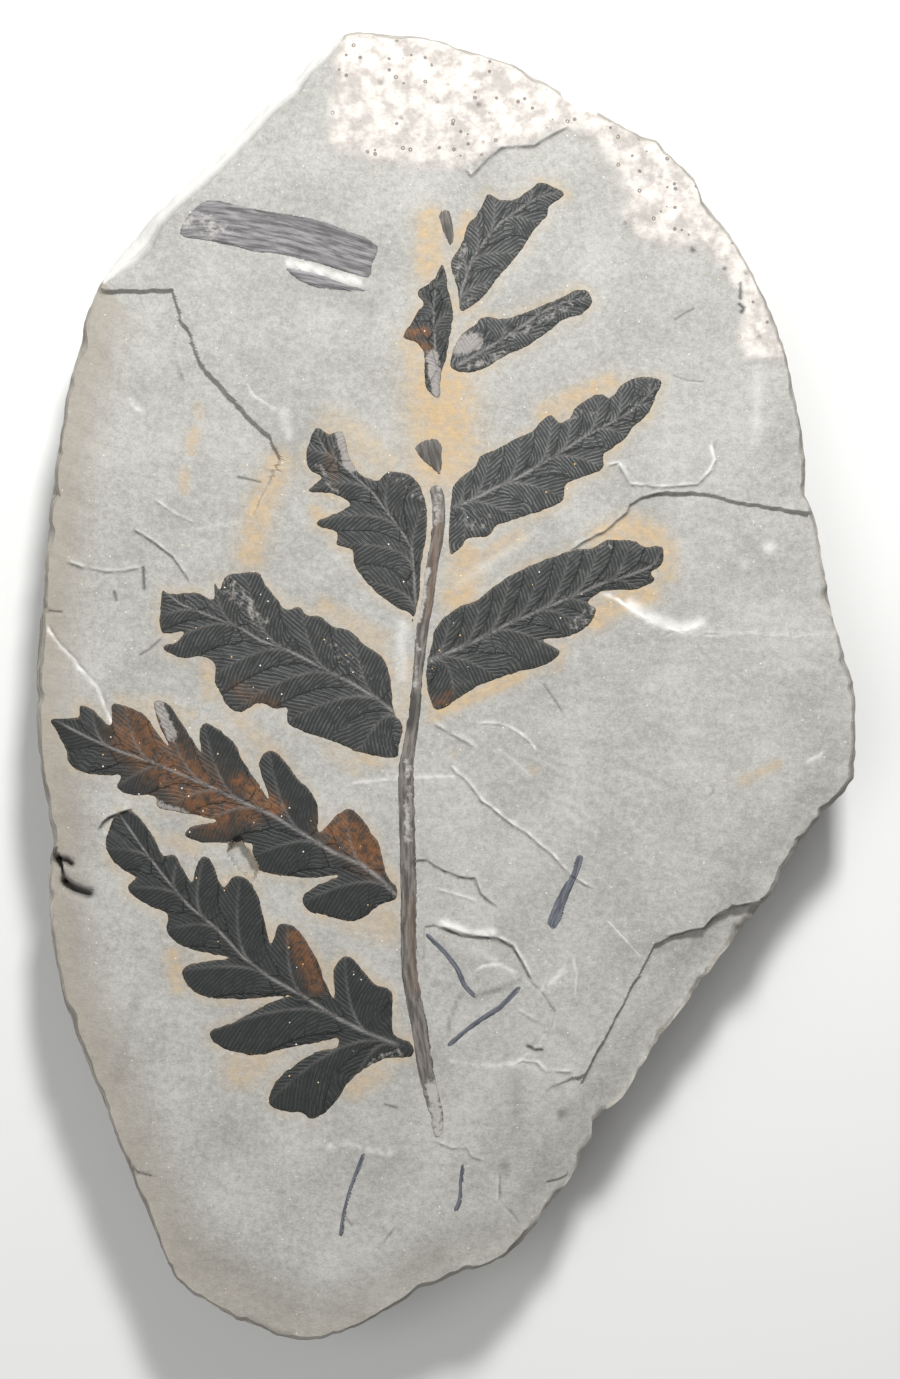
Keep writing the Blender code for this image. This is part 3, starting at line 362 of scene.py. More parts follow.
def bedding(spots):
    """Height in mm of the rock's top at sheet points."""
    clear = np.full(len(spots), np.inf)
    for outline in film_outlines.values():
        clear = np.minimum(clear, along_line(spots, outline)[0])
    height = SLAB_THICKNESS + 0.08 * grain(spots, 15.0, 0.0)
    height += 0.35 * grain(spots + (0.0, 55.0), 11.0, 0.0) * ease((clear - 1.5) / 8.0)
    height += crust_cover(spots) * (0.3 + 0.25 * grain(spots + (45.0, 0.0), 5.0, 0.0)
                                    + 0.14 * grain(spots, 1.3, 3.5))
    for outline, depth, fall in TERRACES:
        near = close_by(spots, outline, 1.0)
        offset = spots[near] - outline[0]
        floor = SLAB_THICKNESS - depth - offset @ np.array(fall)
        floor += 0.05 * grain(spots[near], 1.6, 21.5)
        wobble = 0.15 * grain(spots[near], 0.7, 23.5)
        sunk = ease(0.5 + (depth_inside(spots[near], outline) + wobble) / 0.3)
        height[near] += sunk * (np.minimum(height[near], floor) - height[near])
    for line, rise, reach, lip_white_and_highlight, shade_and_smear in SCARPS:
        near = close_by(spots, line, 3.0 * reach)
        away, side, walked, length = along_line(spots[near], line)
        taper = ease(np.minimum(walked, length - walked) / 1.0)
        offset = side * away + 0.1 * grain(spots[near], 0.6, 31.5)
        height[near] += 0.5 * rise * taper * np.tanh(offset / 0.09) * np.exp(-away / reach)
    for line, depth, width, shade_and_smear in CRACKS:
        height -= depth * stroke(spots, line, width)
    for place, radius, depth in PITS:
        height -= depth * stroke(spots, (place,), radius) ** 2
    offsets = spots - PLUME_HEART
    reach = np.hypot(offsets[:, 0], offsets[:, 1])
    swing = np.arctan2(offsets[:, 1], offsets[:, 0])
    plume = ease((reach - 7.0) / 8.0) * ease((swing + 0.35) / 0.25) * ease((1.15 - swing) / 0.2)
    striae = np.column_stack((reach / 5.0, swing * 26.0 + reach * 0.02))
    height += 0.075 * plume * ease(clear / 1.5) * grain(striae, 1.0, 41.5)
    lean = spots @ np.array(((0.85, -0.5), (0.5, 0.85))) / (2.6, 1.1)
    height += 0.05 * (1.0 - plume) * ease(clear / 1.0) * grain(lean, 1.0, 44.5)
    height += 0.025 * ease(clear / 0.6) * grain(spots, 0.8, 47.5)
    share = share_out(spots)[0]
    height -= 0.6 * ease((share - 0.9) / 0.1)
    return np.minimum(height, HIGHEST)


def disc_place(across, up):
    """Share and turn, on an ellipse of the slab's proportions, of points on a square grid."""
    wide = np.abs(across) > np.abs(up)
    share = np.where(wide, np.abs(across), np.abs(up))
    safe_across, safe_up = np.where(wide, across, 1.0), np.where(wide, 1.0, np.where(up == 0.0, 1.0, up))
    turn = np.where(wide, math.pi / 4 * up / safe_across + np.where(across > 0.0, 0.0, math.pi),
                    math.pi / 2 - math.pi / 4 * across / safe_up + np.where(up > 0.0, 0.0, math.pi))
    half = np.ptp(np.array(SLAB_OUTLINE), axis=0) / 2
    return share, np.arctan2(half[1] * np.sin(turn), half[0] * np.cos(turn)) % math.tau


def place_all(verts, places):
    """Moves vertices to places in metres."""
    for vert, place in zip(verts, places.tolist()):
        vert.co = place


def split_near(bm, wanted, keep_border):
    """Halves the edges between wanted vertices, given as a truth value for each vertex."""
    for vert, value in zip(bm.verts, wanted):
        vert.tag = bool(value)
    edges = [edge for edge in bm.edges
             if edge.verts[0].tag and edge.verts[1].tag and not (keep_border and edge.is_boundary)]
    bmesh.ops.subdivide_edges(bm, edges=edges, cuts=1, use_grid_fill=True, use_single_edge=True)


def feature_distance(spots):
    """Distance in mm to the nearest scarp, crack, pit or terrace edge."""
    distance = np.full(len(spots), 9.0)
    lines = [entry[0] for entry in SCARPS + CRACKS] + [outline + outline[:1] for outline, *rest in TERRACES]
    lines += [(place, (place[0] + 0.1, place[1])) for place, radius, depth in PITS]
    for line in lines:
        near = close_by(spots, line, 2.0)
        distance[near] = np.minimum(distance[near], along_line(spots[near], line)[0])
    return distance


# The rim falls to the widest contour in bands, given as shares of the way out. Below it the side
# goes down in laminae, each with a top and a foot edge, and the underside is filled with a grid.
SIDE_BANDS = (0.4, 0.75, 1.0)
LAMINAE = 10
FILL_RING = -1
slab_bm = bmesh.new()
bmesh.ops.create_grid(slab_bm, x_segments=84, y_segments=134, size=1.0)
grid_places = np.array([vert.co[:2] for vert in slab_bm.verts])
shares, turns = disc_place(grid_places[:, 0], grid_places[:, 1])
flat = on_ring(turns, shares * rim(turns)) * MM
place_all(slab_bm.verts, np.column_stack((flat, np.zeros(len(flat)))))


def film_cover(spots):
    """Depth in mm inside the nearest film, negative off the films."""
    cover = np.full(len(spots), -9.0)
    for outline in film_outlines.values():
        near = close_by(spots, outline, 2.0)
        cover[near] = np.maximum(cover[near], depth_inside(spots[near], outline))
    return cover


split_near(slab_bm, film_cover(to_sheet(flat)) < 0.9, False)
for reach in (0.75, 0.3):
    spots = to_sheet([vert.co[:] for vert in slab_bm.verts])
    split_near(slab_bm, feature_distance(spots) < reach, True)

ring_layer = slab_bm.verts.layers.int.new("ring")
turn_layer = slab_bm.verts.layers.float.new("turn")
for vert in slab_bm.verts:
    vert[turn_layer] = math.atan2(vert.co.y, vert.co.x) % math.tau
    vert[ring_layer] = 1 if vert.is_boundary else 0
foot_ring = len(SIDE_BANDS) + 2 * LAMINAE + 2
for ring in range(2, foot_ring + 1):
    border = [edge for edge in slab_bm.edges if edge.is_boundary]
    for item in bmesh.ops.extrude_edge_only(slab_bm, edges=border)["geom"]:
        if isinstance(item, bmesh.types.BMVert):
            item[ring_layer] = ring
            reach = (widest(item[turn_layer]) - 1.5) * MM
            item.co = (reach * math.cos(item[turn_layer]), reach * math.sin(item[turn_layer]), 0.0)
foot_border = [edge for edge in slab_bm.edges if edge.is_boundary]
underside = bmesh.ops.create_grid(slab_bm, x_segments=50, y_segments=80, size=1.0)["verts"]
grid_places = np.array([vert.co[:2] for vert in underside])
shares, turns = disc_place(grid_places[:, 0], grid_places[:, 1])
flat = on_ring(turns, shares * (widest(turns) - 4.0)) * MM
place_all(underside, np.column_stack((flat, np.zeros(len(flat)))))
for vert in underside:
    vert[ring_layer] = FILL_RING
inner_border = [edge for edge in slab_bm.edges if edge.is_boundary and edge.verts[0][ring_layer] == FILL_RING]
bmesh.ops.bridge_loops(slab_bm, edges=foot_border + inner_border)
bmesh.ops.recalc_face_normals(slab_bm, faces=slab_bm.faces)
bmesh.ops.triangulate(slab_bm, faces=slab_bm.faces)
slab_mesh = bpy.data.meshes.new("shale_slab_dressed")
slab_bm.to_mesh(slab_mesh)
slab_bm.free()


def read_points(mesh, name, kind):
    """One number for each point of a mesh, read from a layer."""
    values = np.zeros(len(mesh.vertices), kind)
    mesh.attributes[name].data.foreach_get("value", values)
    return values


def positions(mesh):
    """Places in metres of the points of a mesh, one row each."""
    places = np.zeros(len(mesh.vertices) * 3)
    mesh.vertices.foreach_get("co", places)
    return places.reshape(-1, 3)


def paint(mesh, name, values):
    """Keeps a number at each point of a mesh for its material to read."""
    layer = mesh.attributes.new(name, "FLOAT", "POINT")
    layer.data.foreach_set("value", np.asarray(values, np.float32))


# Main bed joints: share of the crest's height, and step in from the widest contour above and below.
BED_JOINTS = ((0.68, 0.2, 0.8), (0.34, 0.45, 1.1))


def broken_side(turns, height):
    """Reach in mm of the broken side at a height, stepping in at the two main bed joints."""
    wide = widest(turns)
    places = on_ring(turns, wide)
    crest = crest_height(turns)
    notches = [0.65 + 0.65 * grain(places, 6.0, 40.0 * bed / 6.0) for bed in range(3)]
    rings = [(wide, crest)]
    for bed, (share, above, below) in enumerate(BED_JOINTS):
        joint = share * crest + 1.5 * grain(places, 14.0, (90.0 + 30.0 * bed) / 14.0)
        rings.append((wide - above - notches[bed], joint + 0.15))
        rings.append((wide - below - notches[bed + 1], joint - 0.15))
    rings.append((wide - 1.3 - notches[2], np.zeros(len(turns))))
    reach = wide.copy()
    for (upper_reach, upper), (lower_reach, lower) in zip(rings, rings[1:]):
        share = np.clip((upper - height) / (upper - lower), 0.0, 1.0)
        reach = np.where(height <= upper, upper_reach + (lower_reach - upper_reach) * share, reach)
    return reach


def crest_height(turns):
    """Height in mm at which the broken side is widest."""
    return SLAB_THICKNESS - 1.3 - 2.0 * (widest(turns) - rim(turns) - 0.5)


lamina_edges = np.linspace(1.0, 0.0, LAMINAE + 1) ** 1.1 + 0.02 * np.sin(np.arange(LAMINAE + 1) * 2.3)
lamina_edges[0], lamina_edges[-1] = 0.98, 0.02
rings = read_points(slab_mesh, "ring", np.int32)
turns = read_points(slab_mesh, "turn", np.float32).astype(float)
places = positions(slab_mesh) / MM
places[:, :2] = np.where((rings >= 1)[:, None], on_ring(turns, rim(turns)), places[:, :2])
spots = to_sheet(places * MM)
cover = film_cover(spots)
top = rings <= 1
top[rings == FILL_RING] = False
places[top, 2] = bedding(spots[top]) - 0.25 * ease((cover[top] - 0.3) / 0.4)
rim_rows = np.flatnonzero(rings == 1)
rim_heights = places[rim_rows, 2][np.argsort(turns[rim_rows])]
rim_turns = np.sort(turns[rim_rows])
for ring in range(2, foot_ring + 1):
    rows = np.flatnonzero(rings == ring)
    turn = turns[rows]
    crest = crest_height(turn)
    inner = rim(turn)
    wide = widest(turn)
    lip = np.interp(turn, rim_turns, rim_heights, period=math.tau)
    around = on_ring(turn, wide)
    if ring < 2 + len(SIDE_BANDS):
        share = SIDE_BANDS[ring - 2]
        chips = 0.22 * grain(around, 1.1, 60.5 + 3.0 * ring) * share
        reach = np.minimum(inner + (wide - inner) * share ** 0.9 + np.minimum(chips, 0.0), wide)
        height = lip + (crest - lip) * share ** 1.3
    elif ring < foot_ring:
        step = ring - 2 - len(SIDE_BANDS)
        lamina = step // 2
        height = crest * lamina_edges[lamina + step % 2] - 0.05 * (-1) ** step
        worn = 0.25 + 0.25 * grain(around, 2.2, 70.5 + 3.0 * lamina)
        worn += 0.3 * np.maximum(0.0, grain(around, 0.9, 71.5 + 3.0 * lamina)) + 0.06 * (step % 2)
        reach = broken_side(turn, height) - np.maximum(worn, 0.0)
    else:
        reach, height = broken_side(turn, np.zeros(len(rows))) - 0.8, np.full(len(rows), 0.05)
    places[rows, :2] = on_ring(turn, reach)
    places[rows, 2] = height
under = rings == FILL_RING
flat = places[under, :2]
places[under, 2] = np.maximum(0.0, 0.03 + 0.12 * grain(flat, 7.0, 81.5) + 0.06 * grain(flat, 1.8, 83.5))
slab_mesh.vertices.foreach_set("co", (places * MM).ravel())
slab_mesh.attributes.remove(slab_mesh.attributes["ring"])
slab_mesh.attributes.remove(slab_mesh.attributes["turn"])
slab_mesh.shade_smooth()
slab_mesh.set_sharp_from_angle(angle=math.radians(40.0))
slab_mesh.update()
slab = bpy.data.objects.new("dressed_shale_slab", slab_mesh)
bpy.context.scene.collection.objects.link(slab)
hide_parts("shale_slab")
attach(slab, "root")


# The shale slab, its stains and colour.
# Fine-grained grey mudstone. Iron has stained it ochre round the films and a cream mineral crust
# covers the upper right. The joint face at the upper left and the side under the lost flake are
# painted near white, a painted highlight where they face the light; ledge edges are painted white,
# partly crushed rock and partly painted highlight; the feet of ledges, the cracks and the pits are
# darkened with painted shade.
# Ochre stains: line, radius in mm, strength.
STAINS = (
    (((44.0, 38.5), (44.3, 45.5)), 3.0, 0.95), (((41.5, 34.5), (42.5, 39.5)), 1.5, 0.7),
    (((43.0, 22.0), (42.8, 27.0)), 1.2, 0.8), (((46.8, 21.8), (45.8, 24.0)), 0.6, 0.7),
    (((46.6, 56.0), (46.0, 60.0)), 1.6, 0.8), (((48.8, 55.4), (52.0, 53.6)), 0.7, 0.6),
    (((60.0, 54.0), (63.0, 52.6), (65.4, 53.6)), 1.2, 0.8), (((66.6, 54.6), (66.8, 57.4)), 0.9, 0.75),
    (((65.0, 59.2), (61.0, 60.6), (59.5, 62.0)), 1.0, 0.85), (((54.5, 41.2), (61.0, 38.2)), 0.9, 0.8),
    (((43.2, 71.6), (47.0, 69.8), (52.0, 67.6)), 0.6, 0.9), (((55.8, 66.6), (56.4, 64.6)), 0.5, 0.5),
    (((24.0, 107.0), (27.0, 104.4)), 1.6, 0.6), (((17.2, 95.6), (17.8, 98.6)), 0.7, 0.7),
    (((35.5, 91.5), (38.6, 92.5)), 1.6, 0.5), (((27.8, 46.5), (26.2, 50.5), (25.0, 55.5)), 1.3, 0.75),
    (((18.4, 47.0), (18.4, 48.9)), 0.4, 0.6), (((19.4, 43.2), (19.2, 45.0)), 0.5, 0.65),
    (((19.9, 40.6), (19.9, 41.5)), 0.35, 0.5), (((32.5, 60.6), (38.2, 64.0)), 0.8, 0.55),
    (((33.5, 42.2), (38.5, 46.2)), 1.3, 0.45), (((20.6, 66.5), (20.9, 69.5)), 0.6, 0.6),
    (((12.0, 70.0), (19.0, 71.5)), 0.6, 0.4), (((23.5, 71.5), (28.0, 76.0)), 0.8, 0.4),
    (((35.6, 75.6), (38.0, 76.4)), 0.5, 0.5), (((38.8, 87.0), (39.6, 88.4)), 0.5, 0.6),
    (((33.0, 74.8), (35.5, 77.0)), 0.7, 0.3), (((17.2, 84.0), (19.5, 85.0)), 0.7, 0.5),
    (((28.0, 101.6), (33.0, 104.4)), 0.7, 0.5), (((35.5, 108.8), (38.0, 107.2)), 1.0, 0.55),
    (((74.0, 78.2), (77.8, 76.4)), 0.4, 0.5), (((53.3, 77.0),), 0.4, 0.5), (((45.3, 75.4),), 0.3, 0.5),
    (((41.0, 66.0), (40.4, 71.0)), 0.5, 0.4), (((31.5, 51.0), (32.5, 52.5)), 0.6, 0.8),
)
# White crushed places, given in the same way.
BRUISES = (
    (((12.9, 39.8), (13.9, 41.1)), 0.2, 0.5), (((46.1, 73.6), (47.6, 74.6)), 0.25, 0.6),
    (((44.2, 92.3), (46.1, 92.9), (47.6, 93.3), (49.2, 93.2)), 0.4, 0.9),
    (((54.1, 99.1), (55.3, 98.1), (56.5, 96.8)), 0.25, 0.55), (((51.2, 106.4), (52.0, 106.2)), 0.4, 0.6),
    (((76.9, 54.6),), 0.6, 0.7), (((74.5, 56.5),), 0.5, 0.3), (((75.7, 38.0), (75.7, 44.0)), 0.6, 0.3),
    (((63.0, 60.4), (65.7, 62.0), (68.2, 62.8), (70.1, 62.3)), 0.55, 0.9),
    (((33.0, 114.6), (35.0, 114.4), (36.2, 114.8), (37.2, 115.0), (38.8, 115.5), (39.2, 114.5)), 0.16, 0.6),
    (((28.9, 26.3), (32.0, 27.1), (35.9, 28.2)), 0.35, 1.0), (((28.4, 41.3), (28.9, 43.5)), 0.5, 0.4),
    (((60.9, 92.1), (62.5, 93.8), (64.0, 95.5)), 0.16, 0.5), (((45.6, 49.8), (45.3, 51.0)), 0.2, 0.4),
    (((53.4, 53.4), (45.8, 58.4)), 0.4, 0.25), (((50.0, 75.0), (53.0, 77.5)), 0.2, 0.3),
    (((47.0, 94.9), (49.5, 96.0)), 0.3, 0.3), (((40.2, 62.5), (40.2, 67.5)), 0.5, 0.45),
)
# Dark carbon smears, given in the same way.
SMEARS = (
    (((44.0, 94.0), (45.0, 95.6)), 0.5, 0.25), (((51.5, 106.0), (51.6, 113.0)), 0.8, 0.3),
    (((56.0, 103.0), (57.5, 104.0)), 0.5, 0.3), (((50.5, 116.5), (50.6, 117.5)), 0.5, 0.3),
    (((46.1, 99.4), (45.0, 101.8), (44.8, 103.1)), 0.2, 0.5),
    (((47.5, 99.7), (50.0, 98.9), (52.0, 98.0)), 0.25, 0.6),
    (((43.8, 111.0), (43.9, 113.0)), 0.5, 0.3), (((62.5, 95.0), (66.0, 94.6)), 1.2, 0.2),
    (((30.0, 28.0), (37.0, 30.5)), 1.2, 0.25), (((14.0, 99.0), (12.5, 104.0), (11.8, 108.0)), 0.5, 0.2),
)


def strongest(spots, strokes, gain=1.0):
    """Strength at each point of the strongest of several strokes, each a line, a radius and a strength."""
    mark = np.zeros(len(spots))
    for line, radius, strength in strokes:
        mark = np.maximum(mark, strength * np.minimum(1.0, gain * stroke(spots, line, radius)))
    return mark


spots = to_sheet(places * MM)
clear = np.full(len(spots), 9.0)
for name, outline in film_outlines.items():
    if "pinna" in name:
        near = close_by(spots, outline, 4.0)
        clear[near] = np.minimum(clear[near], along_line(spots[near], outline)[0])
patches = 0.5 + 0.5 * grain(spots, 3.0, 91.5) + 0.35 * grain(spots, 0.9, 93.5)
ochre = 0.55 * np.exp(-(clear / 0.7) ** 2) * np.clip(patches * 1.4, 0.0, 1.2)
ochre = np.maximum(ochre, strongest(spots, STAINS, 1.6) * (1.0 + 0.5 * grain(spots, 1.1, 95.5)))
crushed_white_and_highlight_mask = np.zeros(len(spots))
shade_and_smear_mask = np.zeros(len(spots))
for line, rise, reach, lip_white_and_highlight, shade_and_smear in SCARPS:
    near = close_by(spots, line, 1.5)
    away, side, walked, length = along_line(spots[near], line)
    offset = side * away * math.copysign(1.0, rise) + 0.1 * grain(spots[near], 0.6, 31.5)
    taper = ease(np.minimum(walked, length - walked) / 0.8)
    broken_up = np.clip(0.75 + 0.8 * grain(spots[near], 0.9, 97.5), 0.15, 1.2)
    # The lip on the high side is painted white, partly crushed rock and partly painted highlight; the band at
    # the foot is painted shadow.
    lip_white_and_highlight_band = np.exp(-((offset - 0.16) / 0.17) ** 2)
    foot_shadow_band = np.exp(-((offset + 0.1) / 0.13) ** 2)
    crushed_white_and_highlight_mask[near] = np.maximum(crushed_white_and_highlight_mask[near], lip_white_and_highlight * taper * broken_up * lip_white_and_highlight_band)
    shade_and_smear_mask[near] = np.maximum(shade_and_smear_mask[near], shade_and_smear * taper * broken_up * foot_shadow_band)
# Painted shade in the cracks and slots.
shade_and_smear_mask = np.maximum(shade_and_smear_mask, strongest(spots, [(line, 1.2 * width, shade_and_smear) for line, depth, width, shade_and_smear in CRACKS]))
# Painted shade in the pits.
shade_and_smear_mask = np.maximum(shade_and_smear_mask, strongest(spots, [((place,), 0.8 * radius, 0.5) for place, radius, depth in PITS]))
crushed_white_and_highlight_mask = np.maximum(crushed_white_and_highlight_mask, strongest(spots, BRUISES) * (0.8 + 0.5 * grain(spots, 0.8, 99.5)))
shade_and_smear_mask = np.maximum(shade_and_smear_mask, strongest(spots, SMEARS) * (0.8 + 0.4 * grain(spots, 1.2, 101.5)))
share, turns = share_out(spots)
# Painted highlight: the joint face at the upper left and the side under the lost flake are marked for a near
# white.
facet_highlight = np.interp(turns, RIM_TURNS, on_facet, period=math.tau)
broken = np.where(rings >= 2, 1.0, 0.0)
margin = ease((share - 0.86) / 0.14) * np.clip(0.7 - 0.9 * (spots[:, 0] - 20.0) / 60.0, 0.0, 1.0)
# Numbers for the colour, among them painted light: white of crushed rock with painted highlights on the ledge
# lips, painted shade at ledge feet, cracks and pits with dark carbon smears, and a painted highlight on the
# joint face.
paint(slab_mesh, "ochre", ochre)
paint(slab_mesh, "crust", crust_cover(spots))
paint(slab_mesh, "crushed_white_and_highlight", np.clip(crushed_white_and_highlight_mask, 0.0, 1.0))
paint(slab_mesh, "shade_and_smear", np.clip(shade_and_smear_mask, 0.0, 1.0))
paint(slab_mesh, "margin", margin * (1.0 - facet_highlight))
paint(slab_mesh, "side", broken * (1.0 - facet_highlight) + 0.5 * (rings == FILL_RING))
paint(slab_mesh, "facet_highlight", broken * facet_highlight)


def add(tree, kind, inputs=None, **settings):
    """A shader node with its settings, each named input given a value or joined to a socket."""
    made = tree.nodes.new(kind)
    for key, value in settings.items():
        setattr(made, key, value)
    for key, value in (inputs or {}).items():
        if isinstance(value, bpy.types.NodeSocket):
            tree.links.new(value, made.inputs[key])
        else:
            made.inputs[key].default_value = value
    return made


def blend(tree, share, under, over):
    """One colour laid over another by a share."""
    return add(tree, "ShaderNodeMix", {0: share, 6: under, 7: over}, data_type="RGBA").outputs[2]


def sums(tree, operation, first, second=0.0, clamp=False):
    """The result of one sum on one or two numbers."""
    made = add(tree, "ShaderNodeMath", {0: first, 1: second}, operation=operation, use_clamp=clamp)
    return made.outputs[0]


def between(tree, value, low, high, to_low=0.0, to_high=1.0):
    """A value's way from low to high, eased, as a number from to_low to to_high."""
    inputs = {"Value": value, "From Min": low, "From Max": high, "To Min": to_low, "To Max": to_high}
    return add(tree, "ShaderNodeMapRange", inputs, interpolation_type="SMOOTHSTEP").outputs[0]


def mottle(tree, coordinates, size, detail=2.0, roughness=0.55):
    """Noise from 0 to 1 whose lumps are as big as size in mm."""
    inputs = {"Vector": coordinates, "Scale": 1000.0 / size, "Detail": detail, "Roughness": roughness}
    return add(tree, "ShaderNodeTexNoise", inputs).outputs["Fac"]


def painted(tree, name):
    """A number painted on the points of the mesh."""
    return add(tree, "ShaderNodeAttribute", attribute_name=name).outputs["Fac"]


def new_material(name):
    """A material with its node tree, the object's own coordinates and its shader."""
    material = bpy.data.materials.new(name)
    material.use_nodes = True
    tree = material.node_tree
    coordinates = add(tree, "ShaderNodeTexCoord").outputs["Object"]
    return material, tree, coordinates, tree.nodes["Principled BSDF"]


def group_tree(name, inputs, outputs):
    """A node group with its named sockets, its given values and its results."""
    tree = bpy.data.node_groups.new(name, "ShaderNodeTree")
    for direction, sockets in (("INPUT", inputs), ("OUTPUT", outputs)):
        for socket, kind in sockets:
            tree.interface.new_socket(socket, in_out=direction, socket_type="NodeSocket" + kind)
    return tree, tree.nodes.new("NodeGroupInput").outputs, tree.nodes.new("NodeGroupOutput").inputs


# Grain of the mudstone: a mottled tone and a height, for the rock and the films that let it through.
stone_grain, given, result = group_tree(
    "stone_grain", (("Place", "Vector"),), (("Tone", "Float"), ("Height", "Float")))
broad = mottle(stone_grain, given["Place"], 7.0, 3.0)
fine = mottle(stone_grain, given["Place"], 0.7, 3.0, 0.7)
speck = mottle(stone_grain, given["Place"], 0.22, 1.0)
tone = sums(stone_grain, "MULTIPLY", broad, 0.35)
tone = sums(stone_grain, "ADD", tone, sums(stone_grain, "MULTIPLY", fine, 0.4))
tone = sums(stone_grain, "ADD", tone, sums(stone_grain, "MULTIPLY", speck, 0.25))
stone_grain.links.new(tone, result["Tone"])
lumps = sums(stone_grain, "MULTIPLY", fine, 0.7)
specks = sums(stone_grain, "MULTIPLY", speck, 0.3)
stone_grain.links.new(sums(stone_grain, "ADD", lumps, specks), result["Height"])

# Glints: sparse crystals of pyrite and mica, each a dot in a cell of its own.
glints, given, result = group_tree(
    "glints", (("Place", "Vector"), ("Size", "Float"), ("Amount", "Float")),
    (("Dots", "Float"), ("Tint", "Float")))
cells = add(glints, "ShaderNodeTexVoronoi", {"Vector": given["Place"], "Scale": 1400.0})
luck = add(glints, "ShaderNodeSeparateColor", {0: cells.outputs["Color"]})
near_dot = sums(glints, "LESS_THAN", cells.outputs["Distance"], given["Size"])
chosen = sums(glints, "LESS_THAN", luck.outputs[0], given["Amount"])
glints.links.new(sums(glints, "MULTIPLY", near_dot, chosen), result["Dots"])
glints.links.new(luck.outputs[1], result["Tint"])

ROCK_TONES = (0.235, 0.23, 0.212, 1.0), (0.40, 0.395, 0.37, 1.0)
MARGIN_BROWN = (0.27, 0.235, 0.19, 1.0)
OCHRE_TONES = (0.30, 0.20, 0.10, 1.0), (0.50, 0.39, 0.25, 1.0)
CRUST_TONES = (0.36, 0.325, 0.30, 1.0), (0.56, 0.53, 0.49, 1.0)
CRUST_SPECK = (0.10, 0.085, 0.075, 1.0)
SIDE_TONES = (0.17, 0.155, 0.135, 1.0), (0.36, 0.345, 0.31, 1.0)
# Near white of crushed rock, also laid on as painted highlight; near black of carbon smears, also laid on as
# painted shade.
HIGHLIGHT_AND_CRUSHED_WHITE = (0.66, 0.65, 0.62, 1.0)
SHADE_AND_SMEAR_BLACK = (0.035, 0.033, 0.034, 1.0)
GLINT_TONES = (0.75, 0.72, 0.66, 1.0), (0.70, 0.55, 0.28, 1.0)
SHALE_BUMP = 0.16 * MM
shale, tree, place, shader = new_material("dressed_shale")
stone = add(tree, "ShaderNodeGroup", {"Place": place}, node_tree=stone_grain)
rock = blend(tree, between(tree, stone.outputs["Tone"], 0.3, 0.7), *ROCK_TONES)
rock = blend(tree, sums(tree, "MULTIPLY", painted(tree, "margin"), 0.75), rock, MARGIN_BROWN)
blotch = mottle(tree, place, 0.8, 3.0, 0.7)
ochre_share = sums(tree, "MULTIPLY", painted(tree, "ochre"), between(tree, blotch, 0.3, 0.6, 0.45, 1.0), True)
rock = blend(tree, ochre_share, rock, blend(tree, blotch, *OCHRE_TONES))
crust_blotch = mottle(tree, place, 1.6, 4.0, 0.65)
crust_colour = blend(tree, between(tree, crust_blotch, 0.35, 0.65), *CRUST_TONES)
crust_holes = between(tree, crust_blotch, 0.3, 0.5, 0.45, 0.95)
rock = blend(tree, sums(tree, "MULTIPLY", painted(tree, "crust"), crust_holes), rock, crust_colour)
dark_dots = add(tree, "ShaderNodeGroup", {"Place": place, "Size": 0.3, "Amount": 0.16}, node_tree=glints)
dots = sums(tree, "MULTIPLY", dark_dots.outputs["Dots"], painted(tree, "crust"))
rock = blend(tree, sums(tree, "MULTIPLY", dots, 0.75), rock, CRUST_SPECK)
bands = add(tree, "ShaderNodeMapping", {"Vector": place, "Scale": (1.0, 1.0, 9.0)}).outputs[0]
band_tone = mottle(tree, bands, 4.0, 4.0, 0.7)
side_colour = blend(tree, between(tree, band_tone, 0.35, 0.65), *SIDE_TONES)
rock = blend(tree, sums(tree, "MULTIPLY", painted(tree, "side"), 0.85), rock, side_colour)
# Painted highlight: the joint face at the upper left is laid near white where it faces the light.
facet_highlight_share = sums(tree, "MULTIPLY", painted(tree, "facet_highlight"), between(tree, band_tone, 0.3, 0.6, 0.6, 0.98))
rock = blend(tree, facet_highlight_share, rock, HIGHLIGHT_AND_CRUSHED_WHITE)
# White ledge lips and crushed places: crushed rock, with painted highlight on the lips.
rock = blend(tree, painted(tree, "crushed_white_and_highlight"), rock, HIGHLIGHT_AND_CRUSHED_WHITE)
# Painted shade at ledge feet, in cracks and pits, together with dark carbon smears.
rock = blend(tree, sums(tree, "MULTIPLY", painted(tree, "shade_and_smear"), 0.9), rock, SHADE_AND_SMEAR_BLACK)
bright_dots = add(tree, "ShaderNodeGroup", {"Place": place, "Size": 0.1, "Amount": 0.2}, node_tree=glints)
dot_colour = blend(tree, bright_dots.outputs["Tint"], *GLINT_TONES)
rock = blend(tree, sums(tree, "MULTIPLY", bright_dots.outputs["Dots"], 0.7), rock, dot_colour)
tree.links.new(rock, shader.inputs["Base Color"])
tree.links.new(between(tree, stone.outputs["Tone"], 0.2, 0.8, 0.82, 0.98), shader.inputs["Roughness"])
shader.inputs["Specular IOR Level"].default_value = 0.25
stretched = add(tree, "ShaderNodeMapping", {
    "Vector": place, "Rotation": (0.0, 0.0, 0.5), "Scale": (0.5, 1.3, 1.0)}).outputs[0]
ripples = sums(tree, "MULTIPLY", mottle(tree, stretched, 1.1, 3.0, 0.6), 0.4)
relief = sums(tree, "ADD", sums(tree, "MULTIPLY", stone.outputs["Height"], 0.6), ripples)
bump = add(tree, "ShaderNodeBump", {"Strength": 0.8, "Distance": SHALE_BUMP, "Height": relief})
tree.links.new(bump.outputs[0], shader.inputs["Normal"])
slab_mesh.materials.append(shale)


